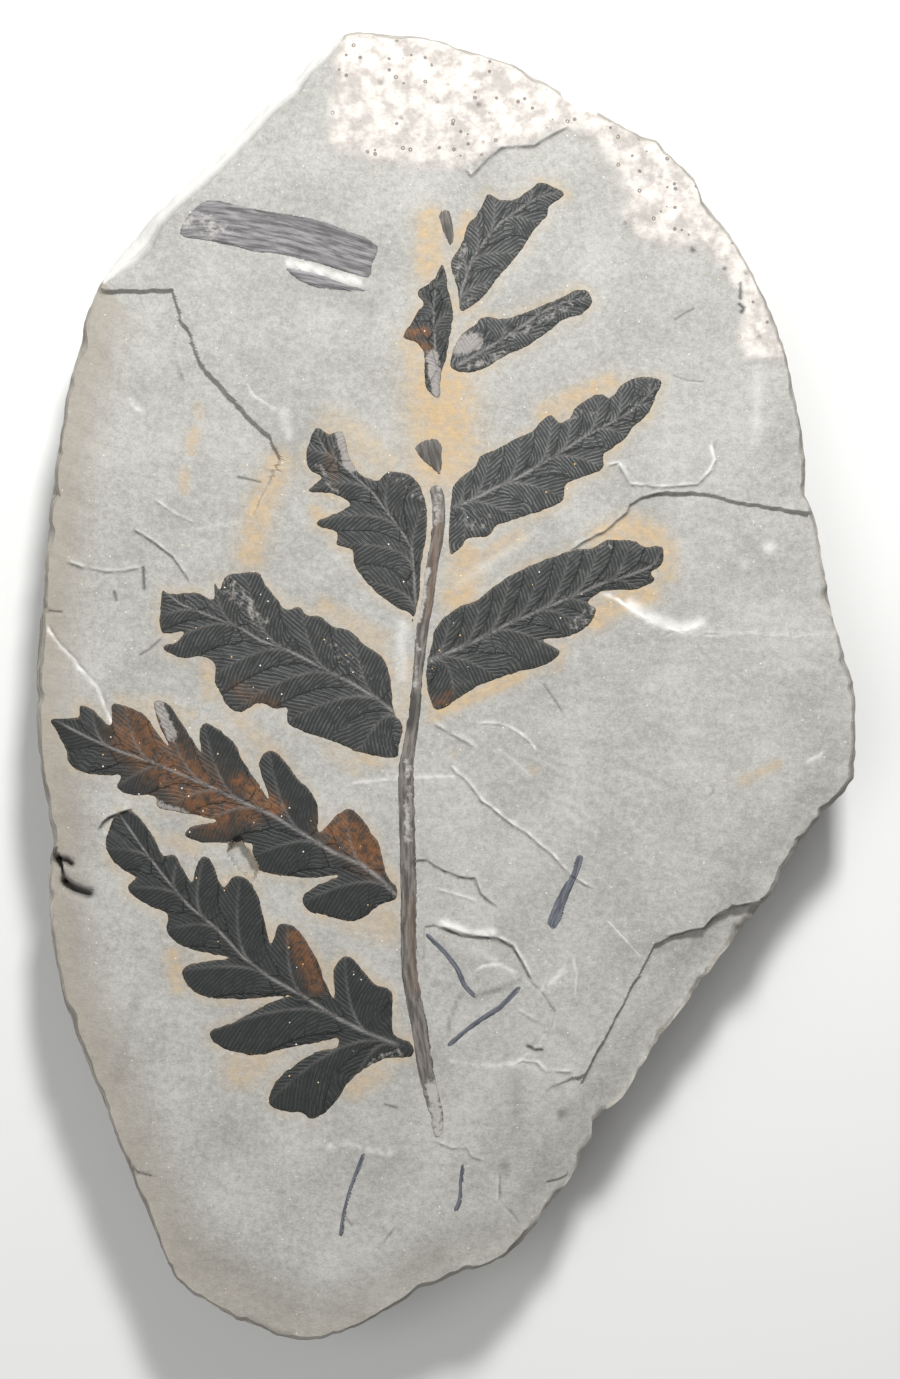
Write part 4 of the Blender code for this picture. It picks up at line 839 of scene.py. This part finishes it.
# The leaf films.
# Each pinna is leaf tissue pressed to a film of black coal on the rock, with its midrib and its
# fans of fine veins standing as low ridges. Films are crisp at the margin and worn in places.
def rounded(outline, cuts):
    """A closed outline with its straight runs eased into curves through the same points."""
    points = np.asarray(outline)
    before, after, beyond = np.roll(points, 1, 0), np.roll(points, -1, 0), np.roll(points, -2, 0)
    slope = 0.5 * (after - before)
    bend = before - 2.5 * points + 2.0 * after - 0.5 * beyond
    twist = 1.5 * points - 0.5 * before - 1.5 * after + 0.5 * beyond
    eased = [points + slope * t + bend * t * t + twist * t ** 3 for t in np.arange(cuts) / cuts]
    return np.stack(eased, axis=1).reshape(-1, 2)


def drop_islands(bm):
    """Keeps only the largest connected piece of a mesh."""
    waiting = set(bm.verts)
    islands = []
    while waiting:
        front = [waiting.pop()]
        island = list(front)
        while front:
            vert = front.pop()
            for edge in vert.link_edges:
                other = edge.other_vert(vert)
                if other in waiting:
                    waiting.remove(other)
                    front.append(other)
                    island.append(other)
        islands.append(island)
    keep = max(islands, key=len)
    lost = [vert for island in islands if island is not keep for vert in island]
    bmesh.ops.delete(bm, geom=lost, context="VERTS")


# A film's foot lies this far in mm below its lowest top. Its border is moved onto the torn outline in
# a few steps, along a slope measured over a small nudge in mm.
FILM_ROOT = 0.35
BORDER_STEPS = 3
NUDGE = 0.02


def cut_film(name, outline, ragged, cell):
    """A flat closed mesh cut from a grid to a torn outline, its foot marked in a layer named root."""
    def depth(spots):
        """Distance in mm inside the torn outline."""
        tooth = ragged * (0.6 * grain(spots, 0.9, 111.5) + 0.5 * grain(spots, 0.35, 113.5))
        return depth_inside(spots, outline) + tooth

    low, high = outline.min(axis=0) - 0.4, outline.max(axis=0) + 0.4
    counts = np.ceil((high - low) / cell).astype(int)
    bm = bmesh.new()
    bmesh.ops.create_grid(bm, x_segments=int(counts[0]), y_segments=int(counts[1]), size=1.0)
    grid = np.array([vert.co[:2] for vert in bm.verts])
    spots = (low + high) / 2 + grid * (1.0, -1.0) * (high - low) / 2
    place_all(bm.verts, np.column_stack((to_world(spots), np.zeros(len(spots)))))
    outer = [vert for vert, inside in zip(bm.verts, depth(spots)) if inside < -0.45 * cell]
    bmesh.ops.delete(bm, geom=outer, context="VERTS")
    stray = [vert for vert in bm.verts if not vert.link_faces]
    bmesh.ops.delete(bm, geom=stray, context="VERTS")
    drop_islands(bm)
    rim_verts = [vert for vert in bm.verts if vert.is_boundary]
    spots = to_sheet([vert.co[:] for vert in rim_verts])
    for turn in range(BORDER_STEPS):
        here = depth(spots)
        slope = np.column_stack([depth(spots + nudge) - here for nudge in ((NUDGE, 0.0), (0.0, NUDGE))]) / NUDGE
        steep = np.maximum((slope ** 2).sum(axis=1), 0.25)
        spots = spots - np.clip(here / steep, -cell, cell)[:, None] * slope
    place_all(rim_verts, np.column_stack((to_world(spots), np.zeros(len(spots)))))
    root_layer = bm.verts.layers.int.new("root")
    border = [edge for edge in bm.edges if edge.is_boundary]
    for item in bmesh.ops.extrude_edge_only(bm, edges=border)["geom"]:
        if isinstance(item, bmesh.types.BMVert):
            item[root_layer] = 1
    bmesh.ops.contextual_create(bm, geom=[edge for edge in bm.edges if edge.is_boundary])
    bmesh.ops.recalc_face_normals(bm, faces=bm.faces)
    bmesh.ops.triangulate(bm, faces=bm.faces)
    mesh = bpy.data.meshes.new(name + "_film")
    bm.to_mesh(mesh)
    bm.free()
    return mesh


def press_film(name, ragged, cell, lift, fields, material):
    """A film of one outline: its top follows the rock, lifted by a relief, and its edge runs down into it."""
    outline = rounded(film_outlines[name], 4)
    mesh = cut_film(name, outline, ragged, cell)
    root = read_points(mesh, "root", np.int32) == 1
    mesh.attributes.remove(mesh.attributes["root"])
    places = positions(mesh)
    spots = to_sheet(places)
    edge = np.maximum(depth_inside(spots, outline), 0.0)
    relief, painting = fields(spots, edge)
    heights = bedding(spots) + lift * ease(edge / 0.3) + relief
    heights[root] = heights.min() - FILM_ROOT
    places[:, 2] = np.minimum(heights, HIGHEST) * MM
    mesh.vertices.foreach_set("co", places.ravel())
    for key, values in painting.items():
        paint(mesh, key, values)
    paint(mesh, "edge", edge)
    mesh.shade_smooth()
    mesh.update()
    mesh.materials.append(material)
    film = bpy.data.objects.new("dressed_" + name, mesh)
    bpy.context.scene.collection.objects.link(film)
    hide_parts(name)
    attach(film, "root")


def lobe_veins(midrib, tips):
    """Midvein of each lobe: it leaves the midrib at a low angle and curves out to the lobe's tip."""
    line = np.array(midrib)
    walked = np.concatenate(([0.0], np.cumsum(np.hypot(*np.diff(line, axis=0).T))))
    veins = []
    for tip in tips:
        away, side, reached, length = along_line(np.array([tip]), midrib)
        foot = max(reached[0] - 1.15 * away[0], 0.1)
        bend = min(foot + 0.5 * away[0], length)
        start, turn = ([np.interp(at, walked, line[:, axis]) for axis in (0, 1)] for at in (foot, bend))
        shares = np.linspace(0.0, 1.0, 7)[:, None]
        veins.append((1 - shares) ** 2 * np.array(start) + 2 * shares * (1 - shares) * np.array(turn)
                     + shares ** 2 * np.array(tip))
    return veins


VEIN_SPACING = 0.62


def pinna_fields(midrib, tips, rib_width, rust, wear):
    """Relief and painted numbers of a pinna, from its midrib, lobe tips and stained and worn places."""
    veins = lobe_veins(midrib, tips)

    def fields(spots, edge):
        """Relief in mm and the numbers to paint, at points at a distance from the film's edge."""
        away, side, walked, length = along_line(spots, midrib)
        nearest = 1.7 * away
        phase = walked - 1.25 * away + 0.13 * side
        width = rib_width * (1.0 - 0.6 * walked / length)
        rib = np.exp(-(away / width) ** 2) * ease((length - walked) / 2.0 + 0.2)
        for number, vein in enumerate(veins):
            out, flank, along, reach = along_line(spots, vein)
            closer = out < nearest
            nearest = np.where(closer, out, nearest)
            fan = along - 1.35 * out + 0.04 * out ** 2 + 0.31 * number + 0.13 * flank
            phase = np.where(closer, fan, phase)
            fading = np.clip(1.0 - 0.8 * along / reach, 0.0, 1.0)
            rib = np.maximum(rib, 0.5 * fading * np.exp(-(out / 0.13) ** 2))
        veining = 0.012 * np.sin(math.tau * phase / VEIN_SPACING)
        relief = 0.05 * rib + 0.05 * ease(edge / 1.2) + veining * ease(edge / 0.4)
        return relief, {"vein": phase, "rib": rib, "rust": strongest(spots, rust, 1.5),
                        "wear": strongest(spots, wear, 1.5)}

    return fields


RUST_TONES = (0.05, 0.018, 0.008, 1.0), (0.21, 0.085, 0.02, 1.0)
WORN_TONES = (0.13, 0.115, 0.105, 1.0), (0.34, 0.32, 0.30, 1.0)
FRINGE_BROWN = (0.14, 0.10, 0.06, 1.0)
CRYSTAL_TONES = (0.62, 0.40, 0.12, 1.0), (0.62, 0.62, 0.58, 1.0)


def finish_film(tree, shader, stone, colour, gloss, specular, ridges, bump_strength, bump_depth):
    """Joins a film's colour, gloss and fine ridges to its shader; the gloss follows the rock's grain."""
    tree.links.new(colour, shader.inputs["Base Color"])
    roughness = between(tree, stone.outputs["Tone"], 0.2, 0.8, gloss, gloss + 0.2)
    tree.links.new(roughness, shader.inputs["Roughness"])
    shader.inputs["Specular IOR Level"].default_value = specular
    relief = sums(tree, "ADD", ridges, sums(tree, "MULTIPLY", stone.outputs["Height"], 0.6))
    bump = add(tree, "ShaderNodeBump", {"Strength": bump_strength, "Distance": bump_depth, "Height": relief})
    tree.links.new(bump.outputs[0], shader.inputs["Normal"])


def carbon_material(name, deep, ridge, rib_colour, vein_spacing, gloss, speckle):
    """Coal film: dark between the veins, greyer on them, rust and bare rock where it is stained or worn."""
    material, tree, place, shader = new_material(name)
    stone = add(tree, "ShaderNodeGroup", {"Place": place}, node_tree=stone_grain)
    wander = mottle(tree, place, 1.4, 2.0)
    phase = sums(tree, "MULTIPLY_ADD", painted(tree, "vein"), math.tau / vein_spacing)
    tree.links.new(sums(tree, "MULTIPLY", wander, 5.0), phase.node.inputs[2])
    wave = sums(tree, "MULTIPLY", sums(tree, "SINE", phase), 0.32)
    finer_wave = sums(tree, "MULTIPLY", sums(tree, "SINE", sums(tree, "MULTIPLY", phase, 2.31)), 0.18)
    threads = sums(tree, "ADD", wave, finer_wave)
    patchy = between(tree, mottle(tree, place, 1.1, 3.0, 0.65), 0.3, 0.7, 0.15, 1.0)
    vein_share = sums(tree, "MULTIPLY", between(tree, threads, -0.15, 0.45), patchy)
    colour = blend(tree, vein_share, deep, ridge)
    rust_patches = between(tree, mottle(tree, place, 0.7, 3.0, 0.7), 0.35, 0.6, 0.2, 1.0)
    rust_share = sums(tree, "MULTIPLY", painted(tree, "rust"), rust_patches)
    colour = blend(tree, rust_share, colour, blend(tree, mottle(tree, place, 0.5, 2.0), *RUST_TONES))
    wear = sums(tree, "MULTIPLY", painted(tree, "wear"), 0.6)
    flaky = sums(tree, "ADD", mottle(tree, place, 0.6, 4.0, 0.7), wear)
    worn_colour = blend(tree, stone.outputs["Tone"], *WORN_TONES)
    colour = blend(tree, between(tree, flaky, 0.72, 0.95), colour, worn_colour)
    rib_share = sums(tree, "MULTIPLY", painted(tree, "rib"), between(tree, wander, 0.3, 0.6, 0.5, 0.95))
    colour = blend(tree, rib_share, colour, rib_colour)
    fringe = between(tree, painted(tree, "edge"), 0.0, 0.25, 0.55, 0.0)
    fringe = sums(tree, "MULTIPLY", fringe, between(tree, mottle(tree, place, 0.45, 2.0), 0.35, 0.65))
    colour = blend(tree, fringe, colour, FRINGE_BROWN)
    dots = add(tree, "ShaderNodeGroup", {"Place": place, "Size": 0.11, "Amount": speckle}, node_tree=glints)
    dot_colour = blend(tree, between(tree, dots.outputs["Tint"], 0.45, 0.6), *CRYSTAL_TONES)
    colour = blend(tree, dots.outputs["Dots"], colour, dot_colour)
    ridges = sums(tree, "MULTIPLY", threads, 0.8)
    finish_film(tree, shader, stone, colour, gloss, 0.45, ridges, 0.7, 0.08 * MM)
    return material


PALE_RIB = (0.19, 0.18, 0.17, 1.0)
black_leaf = carbon_material("black_leaf_film", (0.007, 0.009, 0.008, 1.0), (0.028, 0.032, 0.030, 1.0),
                             PALE_RIB, 0.6, 0.5, 0.16)
dark_leaf = carbon_material("dark_leaf_film", (0.011, 0.013, 0.012, 1.0), (0.075, 0.078, 0.074, 1.0),
                            PALE_RIB, 0.6, 0.5, 0.12)
grey_leaf = carbon_material("grey_leaf_film", (0.018, 0.020, 0.019, 1.0), (0.135, 0.14, 0.135, 1.0),
                            (0.24, 0.23, 0.22, 1.0), 0.55, 0.55, 0.05)

LEAF_TEAR = 0.14
LEAF_CELL = 0.14
LEAF_LIFT = 0.04
# Film, midrib from the stalk to the tip, lobe tips, midrib half width, rust and worn places of each pinna.
PINNAE = {
    "left_pinna_1": (
        black_leaf,
        ((39.7, 104.5), (36.8, 103.35), (33.7, 101.8), (30.1, 99.5), (26.95, 97.75), (24.3, 95.7),
         (21.6, 92.8), (18.9, 90.6), (16.2, 87.4), (14.2, 84.7), (11.9, 81.4)),
        ((10.6, 84.9), (12.7, 88.8), (16.8, 93.0), (18.1, 97.1), (21.0, 103.1), (26.8, 110.3),
         (17.8, 86.0), (20.4, 85.7), (24.0, 87.7), (28.8, 92.5), (34.5, 95.7), (35.5, 108.0)),
        0.2, ((((29.6, 93.8), (31.6, 98.4)), 0.9, 0.75),),
        ((((37.0, 107.0), (39.5, 105.5)), 0.9, 0.5),)),
    "left_pinna_2": (
        black_leaf,
        ((39.6, 89.5), (38.16, 88.0), (36.26, 86.5), (33.4, 85.3), (30.3, 83.4), (27.2, 81.5),
         (24.4, 80.3), (21.55, 78.9), (18.2, 77.5), (15.4, 76.3), (11.8, 75.1), (8.7, 73.7), (5.4, 72.0)),
        ((9.2, 70.8), (12.5, 70.6), (16.1, 70.0), (20.4, 72.2), (26.9, 75.1), (34.6, 80.9),
         (11.7, 78.7), (16.5, 81.0), (18.5, 83.4), (25.4, 85.6), (29.9, 90.4)),
        0.22, ((((33.5, 82.6), (37.6, 85.6)), 1.5, 1.0), (((23.9, 78.2), (27.7, 80.8)), 0.8, 1.0),
               (((13.5, 73.2), (21.5, 80.8)), 2.2, 0.75), (((20.5, 80.5), (25.0, 81.5)), 1.0, 0.7)),
        ((((15.9, 70.6), (17.2, 73.6)), 0.6, 0.75), (((15.6, 80.4), (19.0, 81.8)), 0.6, 0.7))),
    "left_pinna_3": (
        dark_leaf,
        ((40.3, 72.0), (39.6, 71.4), (37.6, 69.8), (35.3, 68.4), (32.95, 67.2), (30.8, 66.05),
         (28.3, 64.8), (26.1, 64.1), (24.0, 62.8), (22.2, 62.1), (20.0, 61.2), (18.2, 60.5), (16.3, 59.1)),
        ((21.4, 58.3), (24.6, 57.3), (30.1, 60.7), (35.4, 63.2), (16.0, 61.7), (16.1, 64.8),
         (21.5, 67.5), (23.5, 71.0), (28.6, 72.2), (36.0, 75.2)),
        0.17, ((((24.0, 69.0), (27.0, 70.6)), 0.9, 0.3),),
        ((((22.5, 58.2), (26.0, 62.0)), 1.1, 0.45), (((32.0, 63.5), (36.5, 67.5)), 0.9, 0.35))),
    "left_pinna_4": (
        dark_leaf,
        ((41.6, 61.4), (41.4, 57.5), (41.2, 54.9), (40.3, 53.4), (38.7, 51.2), (37.2, 49.2),
         (36.0, 48.15), (34.6, 46.8), (32.6, 45.2), (31.5, 43.1)),
        ((30.6, 45.1), (30.7, 49.1), (31.5, 52.1), (33.6, 54.5), (36.6, 58.2), (34.0, 43.2),
         (38.9, 47.3), (42.3, 50.5)),
        0.12, ((((33.0, 45.5), (33.5, 48.0)), 0.5, 0.3),),
        ((((34.3, 43.4), (35.2, 46.4)), 0.8, 0.95), (((39.5, 47.8), (42.0, 49.8)), 0.7, 0.35),
         (((31.8, 46.6), (33.6, 49.2)), 0.4, 0.5))),
    "left_pinna_5": (
        dark_leaf,
        ((44.0, 39.5), (43.6, 36.0), (43.4, 33.0), (43.4, 30.0), (43.9, 26.6)),
        ((41.9, 29.4), (40.4, 33.7), (45.2, 31.0), (44.6, 27.8)),
        0.1, ((((40.5, 33.4), (42.5, 33.2)), 0.45, 0.9), (((41.6, 34.4), (43.0, 35.1)), 0.5, 0.7)),
        ((((43.2, 35.6), (43.8, 39.6)), 0.7, 0.75),)),
    "right_pinna_1": (
        dark_leaf,
        ((42.9, 66.1), (44.8, 65.3), (46.7, 64.5), (48.8, 63.5), (51.0, 62.3), (53.5, 61.25),
         (55.9, 60.2), (58.3, 59.2), (60.4, 58.3), (62.8, 57.6), (64.9, 56.75), (66.3, 55.7)),
        ((66.1, 54.8), (63.0, 54.0), (60.0, 54.3), (57.0, 55.0), (54.0, 56.2), (51.0, 57.6),
         (48.0, 59.8), (45.0, 61.2), (63.8, 58.9), (59.4, 60.9), (58.6, 62.8), (55.8, 65.2),
         (50.0, 67.8), (45.5, 70.2)),
        0.2, ((((43.2, 70.4), (45.0, 69.6)), 0.5, 0.5),),
        ((((57.5, 62.5), (60.0, 60.8)), 0.8, 0.45), (((58.0, 55.2), (61.0, 54.4)), 0.6, 0.35))),
    "right_pinna_2": (
        grey_leaf,
        ((45.3, 50.8), (47.3, 50.0), (49.5, 48.8), (52.0, 47.7), (54.3, 46.3), (56.7, 44.8),
         (58.7, 43.5), (60.7, 42.5), (63.0, 41.2), (64.7, 39.7), (66.0, 38.2)),
        ((64.8, 37.9), (62.0, 38.7), (60.0, 39.5), (57.0, 41.8), (55.1, 41.5), (52.0, 43.6),
         (49.0, 45.2), (46.4, 47.4), (65.2, 40.6), (62.6, 43.6), (60.3, 46.7), (56.4, 49.8),
         (51.6, 51.8), (46.3, 54.5)),
        0.14, (), ((((46.0, 52.5), (49.0, 52.2)), 0.9, 0.35), (((56.5, 42.2), (59.5, 41.0)), 0.6, 0.35))),
    "right_pinna_3": (
        grey_leaf,
        ((45.8, 36.5), (48.3, 35.1), (50.6, 33.7), (52.7, 32.3), (54.0, 31.3), (56.2, 30.3), (59.0, 29.7)),
        ((57.6, 29.1), (54.0, 30.8), (50.5, 31.9), (47.0, 32.9), (57.5, 31.6), (54.0, 33.8), (50.0, 35.9)),
        0.14, (), ((((45.6, 34.6), (47.4, 34.2)), 1.0, 0.8), (((51.0, 33.8), (57.0, 30.6)), 0.35, 0.5),
                   (((47.0, 36.6), (51.0, 35.2)), 0.5, 0.5))),
    "right_pinna_4": (
        grey_leaf,
        ((45.7, 30.8), (46.3, 28.6), (47.3, 25.8), (48.6, 23.9), (50.0, 22.3), (52.4, 20.6), (55.0, 19.0)),
        ((56.2, 19.3), (53.2, 18.8), (49.4, 19.8), (47.4, 21.8), (45.8, 25.0), (54.0, 22.4),
         (51.8, 25.4), (49.6, 28.0), (47.2, 30.5)),
        0.12, (), ((((45.6, 27.5), (46.6, 24.5)), 0.4, 0.5), (((46.6, 30.0), (48.6, 28.8)), 0.4, 0.4))),
}
for name, (film, midrib, tips, rib_width, rust, wear) in PINNAE.items():
    fields = pinna_fields(midrib, tips, rib_width, rust, wear)
    press_film(name, LEAF_TEAR, LEAF_CELL, LEAF_LIFT, fields, film)


# The stalk.
# The frond's axis, a ribbed strip of brown-grey coal film, thin and patchy where it has flaked;
# its broken top end lies apart above the top pinnae.
STALK_LINE = (
    (43.8, 113.5), (43.7, 111.5), (43.3, 110.0), (42.8, 108.0), (42.4, 106.0), (42.15, 104.0),
    (41.8, 102.0), (41.4, 100.0), (41.0, 97.5), (40.85, 94.0), (40.85, 90.0), (40.8, 86.0),
    (40.7, 82.0), (40.6, 78.0), (40.8, 75.5), (41.2, 73.0), (41.5, 70.5), (41.7, 68.0),
    (41.9, 66.0), (42.1, 64.0), (42.4, 62.0), (42.8, 60.0), (43.0, 58.0), (43.3, 56.0),
    (43.7, 54.0), (43.9, 52.0), (43.85, 50.0), (43.5, 48.7),
)


def strip_fields(line, dark=(), wear=(), rust=()):
    """Ribs along a strip, with dark threads, worn and rusty places."""
    def fields(spots, edge):
        """Relief in mm and the numbers to paint, at points at a distance from the strip's edge."""
        away, side, walked, length = along_line(spots, line)
        across = side * away
        places = (("dark", dark), ("wear", wear), ("rust", rust))
        marks = {key: strongest(spots, strokes) for key, strokes in places}
        relief = 0.03 * ease(edge / 0.4) + 0.012 * np.sin(math.tau * across / 0.4)
        return relief, {"across": across, "walked": walked, **marks}

    return fields


STRIP_RUST = (0.13, 0.07, 0.035, 1.0)
STRIP_THREAD = (0.02, 0.018, 0.016, 1.0)
BARE_ROCK = (0.42, 0.40, 0.37, 1.0)


def ribbed_material(name, deep, ridge, worn_tone, rib_spacing, gloss):
    """Ribbed film: fine ribs along it, darker threads, and the rock's grain where it is thin."""
    material, tree, place, shader = new_material(name)
    stone = add(tree, "ShaderNodeGroup", {"Place": place}, node_tree=stone_grain)
    across = sums(tree, "MULTIPLY", painted(tree, "across"), 1.0 / rib_spacing)
    lengthwise = sums(tree, "MULTIPLY", painted(tree, "walked"), 0.12 / rib_spacing)
    drawn_out = add(tree, "ShaderNodeCombineXYZ", {0: across, 1: lengthwise}).outputs[0]
    rib_noise = {"Vector": drawn_out, "Scale": 1.0, "Detail": 3.0, "Roughness": 0.6}
    ribs = add(tree, "ShaderNodeTexNoise", rib_noise).outputs["Fac"]
    colour = blend(tree, between(tree, ribs, 0.35, 0.65), deep, ridge)
    colour = blend(tree, sums(tree, "MULTIPLY", painted(tree, "rust"), 0.8), colour, STRIP_RUST)
    wear = sums(tree, "MULTIPLY", painted(tree, "wear"), 0.6)
    flaky = sums(tree, "ADD", mottle(tree, place, 0.7, 4.0, 0.7), wear)
    worn_colour = blend(tree, stone.outputs["Tone"], worn_tone, BARE_ROCK)
    colour = blend(tree, between(tree, flaky, 0.66, 0.9), colour, worn_colour)
    colour = blend(tree, sums(tree, "MULTIPLY", painted(tree, "dark"), 0.9), colour, STRIP_THREAD)
    finish_film(tree, shader, stone, colour, gloss, 0.4, ribs, 0.8, 0.12 * MM)
    return material


stalk_film = ribbed_material("stalk_film", (0.055, 0.048, 0.042, 1.0), (0.16, 0.145, 0.13, 1.0),
                             (0.20, 0.19, 0.175, 1.0), 0.35, 0.6)
# Dark threads, worn places and rusty places of the stalk: line, radius in mm, strength.
STALK_DARK = (
    (((39.95, 90.0), (39.95, 94.0), (40.2, 98.5)), 0.1, 0.9), (((41.0, 100.5), (41.2, 102.5)), 0.1, 0.8),
    (((40.5, 87.0), (40.6, 90.0)), 0.1, 0.8), (((41.2, 69.8), (41.0, 72.3)), 0.7, 0.8),
    (((40.1, 78.0), (40.2, 86.0)), 0.12, 0.4), (((41.4, 77.5), (41.5, 88.0)), 0.12, 0.3),
)
STALK_WEAR = (
    (((41.9, 62.0), (42.8, 57.0)), 0.35, 0.7), (((43.1, 108.5), (43.9, 113.5)), 0.8, 0.7),
    (((43.6, 48.5), (43.9, 52.0)), 0.6, 0.5), (((41.5, 68.5), (41.9, 64.0)), 0.5, 0.35),
    (((40.7, 76.0), (40.8, 84.0)), 0.5, 0.5),
)
STALK_RUST = (
    (((42.0, 62.0), (42.9, 56.5)), 0.25, 0.6), (((43.2, 57.5), (43.9, 52.0)), 0.4, 0.5),
    (((41.0, 90.0), (41.6, 99.0)), 0.5, 0.35), (((42.9, 61.5), (43.3, 58.0)), 0.25, 0.6),
)
stalk_fields = strip_fields(STALK_LINE, STALK_DARK, STALK_WEAR, STALK_RUST)
press_film("stalk", 0.12, 0.14, 0.03, stalk_fields, stalk_film)
# The two short pieces of the stalk: line along the middle, and dark place.
STALK_PIECES = {
    "stalk_tip": (((44.9, 24.6), (44.4, 21.0)), (((44.6, 22.8),), 0.8, 0.6)),
    "stalk_remnant": (((43.4, 47.4), (42.8, 44.2)), (((43.0, 45.6),), 1.2, 0.6)),
}
for name, (line, dark) in STALK_PIECES.items():
    press_film(name, 0.1, 0.12, 0.03, strip_fields(line, (dark,)), stalk_film)


# The stem fragment and its sliver.
# A length of another plant's stem, flattened to a grey-violet film with fine ribs along it and
# darker bands near its upper edge; a thin strip of it lies apart across a white crack.
stem_film = ribbed_material("stem_rib_film", (0.075, 0.072, 0.074, 1.0), (0.22, 0.21, 0.215, 1.0),
                            (0.22, 0.21, 0.20, 1.0), 0.4, 0.55)
STEM_LINE = ((18.2, 22.0), (22.0, 22.3), (28.0, 23.4), (33.0, 24.7), (37.6, 26.2))
STEM_DARK = (
    (((25.8, 21.1), (32.0, 22.5), (37.0, 24.4)), 0.3, 0.7), (((24.0, 21.6), (33.0, 23.6)), 0.18, 0.45),
    (((30.0, 25.2), (36.8, 26.8)), 0.25, 0.5), (((20.0, 20.6), (25.0, 21.0)), 0.2, 0.35),
)
STEM_WEAR = ((((18.6, 22.0), (22.0, 23.0)), 1.2, 0.45),)
SLIVER_LINE = ((28.6, 27.2), (36.6, 29.0))
stem_fields = strip_fields(STEM_LINE, STEM_DARK, STEM_WEAR)
press_film("stem_fragment", 0.12, 0.14, 0.04, stem_fields, stem_film)
press_film("stem_sliver", 0.1, 0.12, 0.03, strip_fields(SLIVER_LINE), stem_film)


# The loose scraps.
# Thin blue-grey strips and needles of plant film strewn over the lower half of the slab, each
# pressed flat into the bedding like the frond itself.
scrap_film = ribbed_material("scrap_rib_film", (0.045, 0.048, 0.06, 1.0), (0.13, 0.135, 0.155, 1.0),
                             (0.19, 0.19, 0.195, 1.0), 0.3, 0.6)
SCRAPS = {
    "leaf_strip": ((58.0, 85.7), (57.4, 87.5), (56.5, 89.3), (55.8, 91.0), (55.2, 92.6)),
    "fork_scrap_left": ((42.8, 93.6), (44.5, 95.3), (45.7, 96.9), (46.4, 98.5), (47.4, 99.6)),
    "fork_scrap_right": ((51.8, 98.9), (50.0, 100.7), (47.9, 102.1), (46.3, 103.3), (44.9, 104.5)),
    "needle_long": ((36.3, 115.6), (35.6, 117.4), (34.9, 119.4), (34.4, 121.4), (34.1, 123.4)),
    "needle_short": ((46.3, 116.6), (46.1, 118.3), (46.0, 119.9), (45.6, 121.0)),
}
for name, line in SCRAPS.items():
    press_film(name, 0.08, 0.1, 0.02, strip_fields(line), scrap_film)


# The floor, the light and the camera.
# A pale matt floor under the slab, a small key lamp beyond its top end, a broad weak one at the left,
# and a camera straight above, framed as the photograph is.
FLOOR_GREY = (0.62, 0.62, 0.61, 1.0)
floor_bm = bmesh.new()
bmesh.ops.create_grid(floor_bm, x_segments=1, y_segments=1, size=1.5)
floor_mesh = bpy.data.meshes.new("floor")
floor_bm.to_mesh(floor_mesh)
floor_bm.free()
floor_material, tree, place, shader = new_material("pale_floor")
shader.inputs["Base Color"].default_value = FLOOR_GREY
shader.inputs["Roughness"].default_value = 0.9
floor_mesh.materials.append(floor_material)
floor = bpy.data.objects.new("floor", floor_mesh)
bpy.context.scene.collection.objects.link(floor)


def soft_lamp(name, place, aim, size, power):
    """A square lamp of a size in metres and a power in watts, at a place and aimed at another."""
    data = bpy.data.lights.new(name, "AREA")
    data.size = size
    data.energy = power
    lamp = bpy.data.objects.new(name, data)
    lamp.location = place
    lamp.rotation_euler = (Vector(aim) - Vector(place)).to_track_quat("-Z", "Y").to_euler()
    bpy.context.scene.collection.objects.link(lamp)


soft_lamp("key_lamp", (0.045, 0.21, 0.23), (0.0, 0.01, 0.0), 0.05, 1.35)
soft_lamp("fill_lamp", (-0.25, -0.1, 0.45), (0.0, 0.0, 0.0), 0.4, 1.2)
world = bpy.data.worlds.new("soft_room")
world.use_nodes = True
world.node_tree.nodes["Background"].inputs["Color"].default_value = (1.0, 1.0, 1.0, 1.0)
world.node_tree.nodes["Background"].inputs["Strength"].default_value = 0.3
bpy.context.scene.world = world
bpy.context.scene.view_settings.view_transform = "Standard"

# The frame takes in 90 mm by 137.9 mm of the sheet at the bedding plane.
CAMERA_LENS = 70.0
SENSOR = 36.0
FRAME_HEIGHT = 137.9 * MM
FRAME_MIDDLE = to_world(((45.0, 68.95),))[0]
camera_data = bpy.data.cameras.new("camera")
camera_data.lens = CAMERA_LENS
camera_data.sensor_width = SENSOR
camera_data.clip_start = 0.01
camera = bpy.data.objects.new("camera", camera_data)
camera.location = (*FRAME_MIDDLE, SLAB_THICKNESS * MM + FRAME_HEIGHT * CAMERA_LENS / SENSOR)
bpy.context.scene.collection.objects.link(camera)
bpy.context.scene.camera = camera
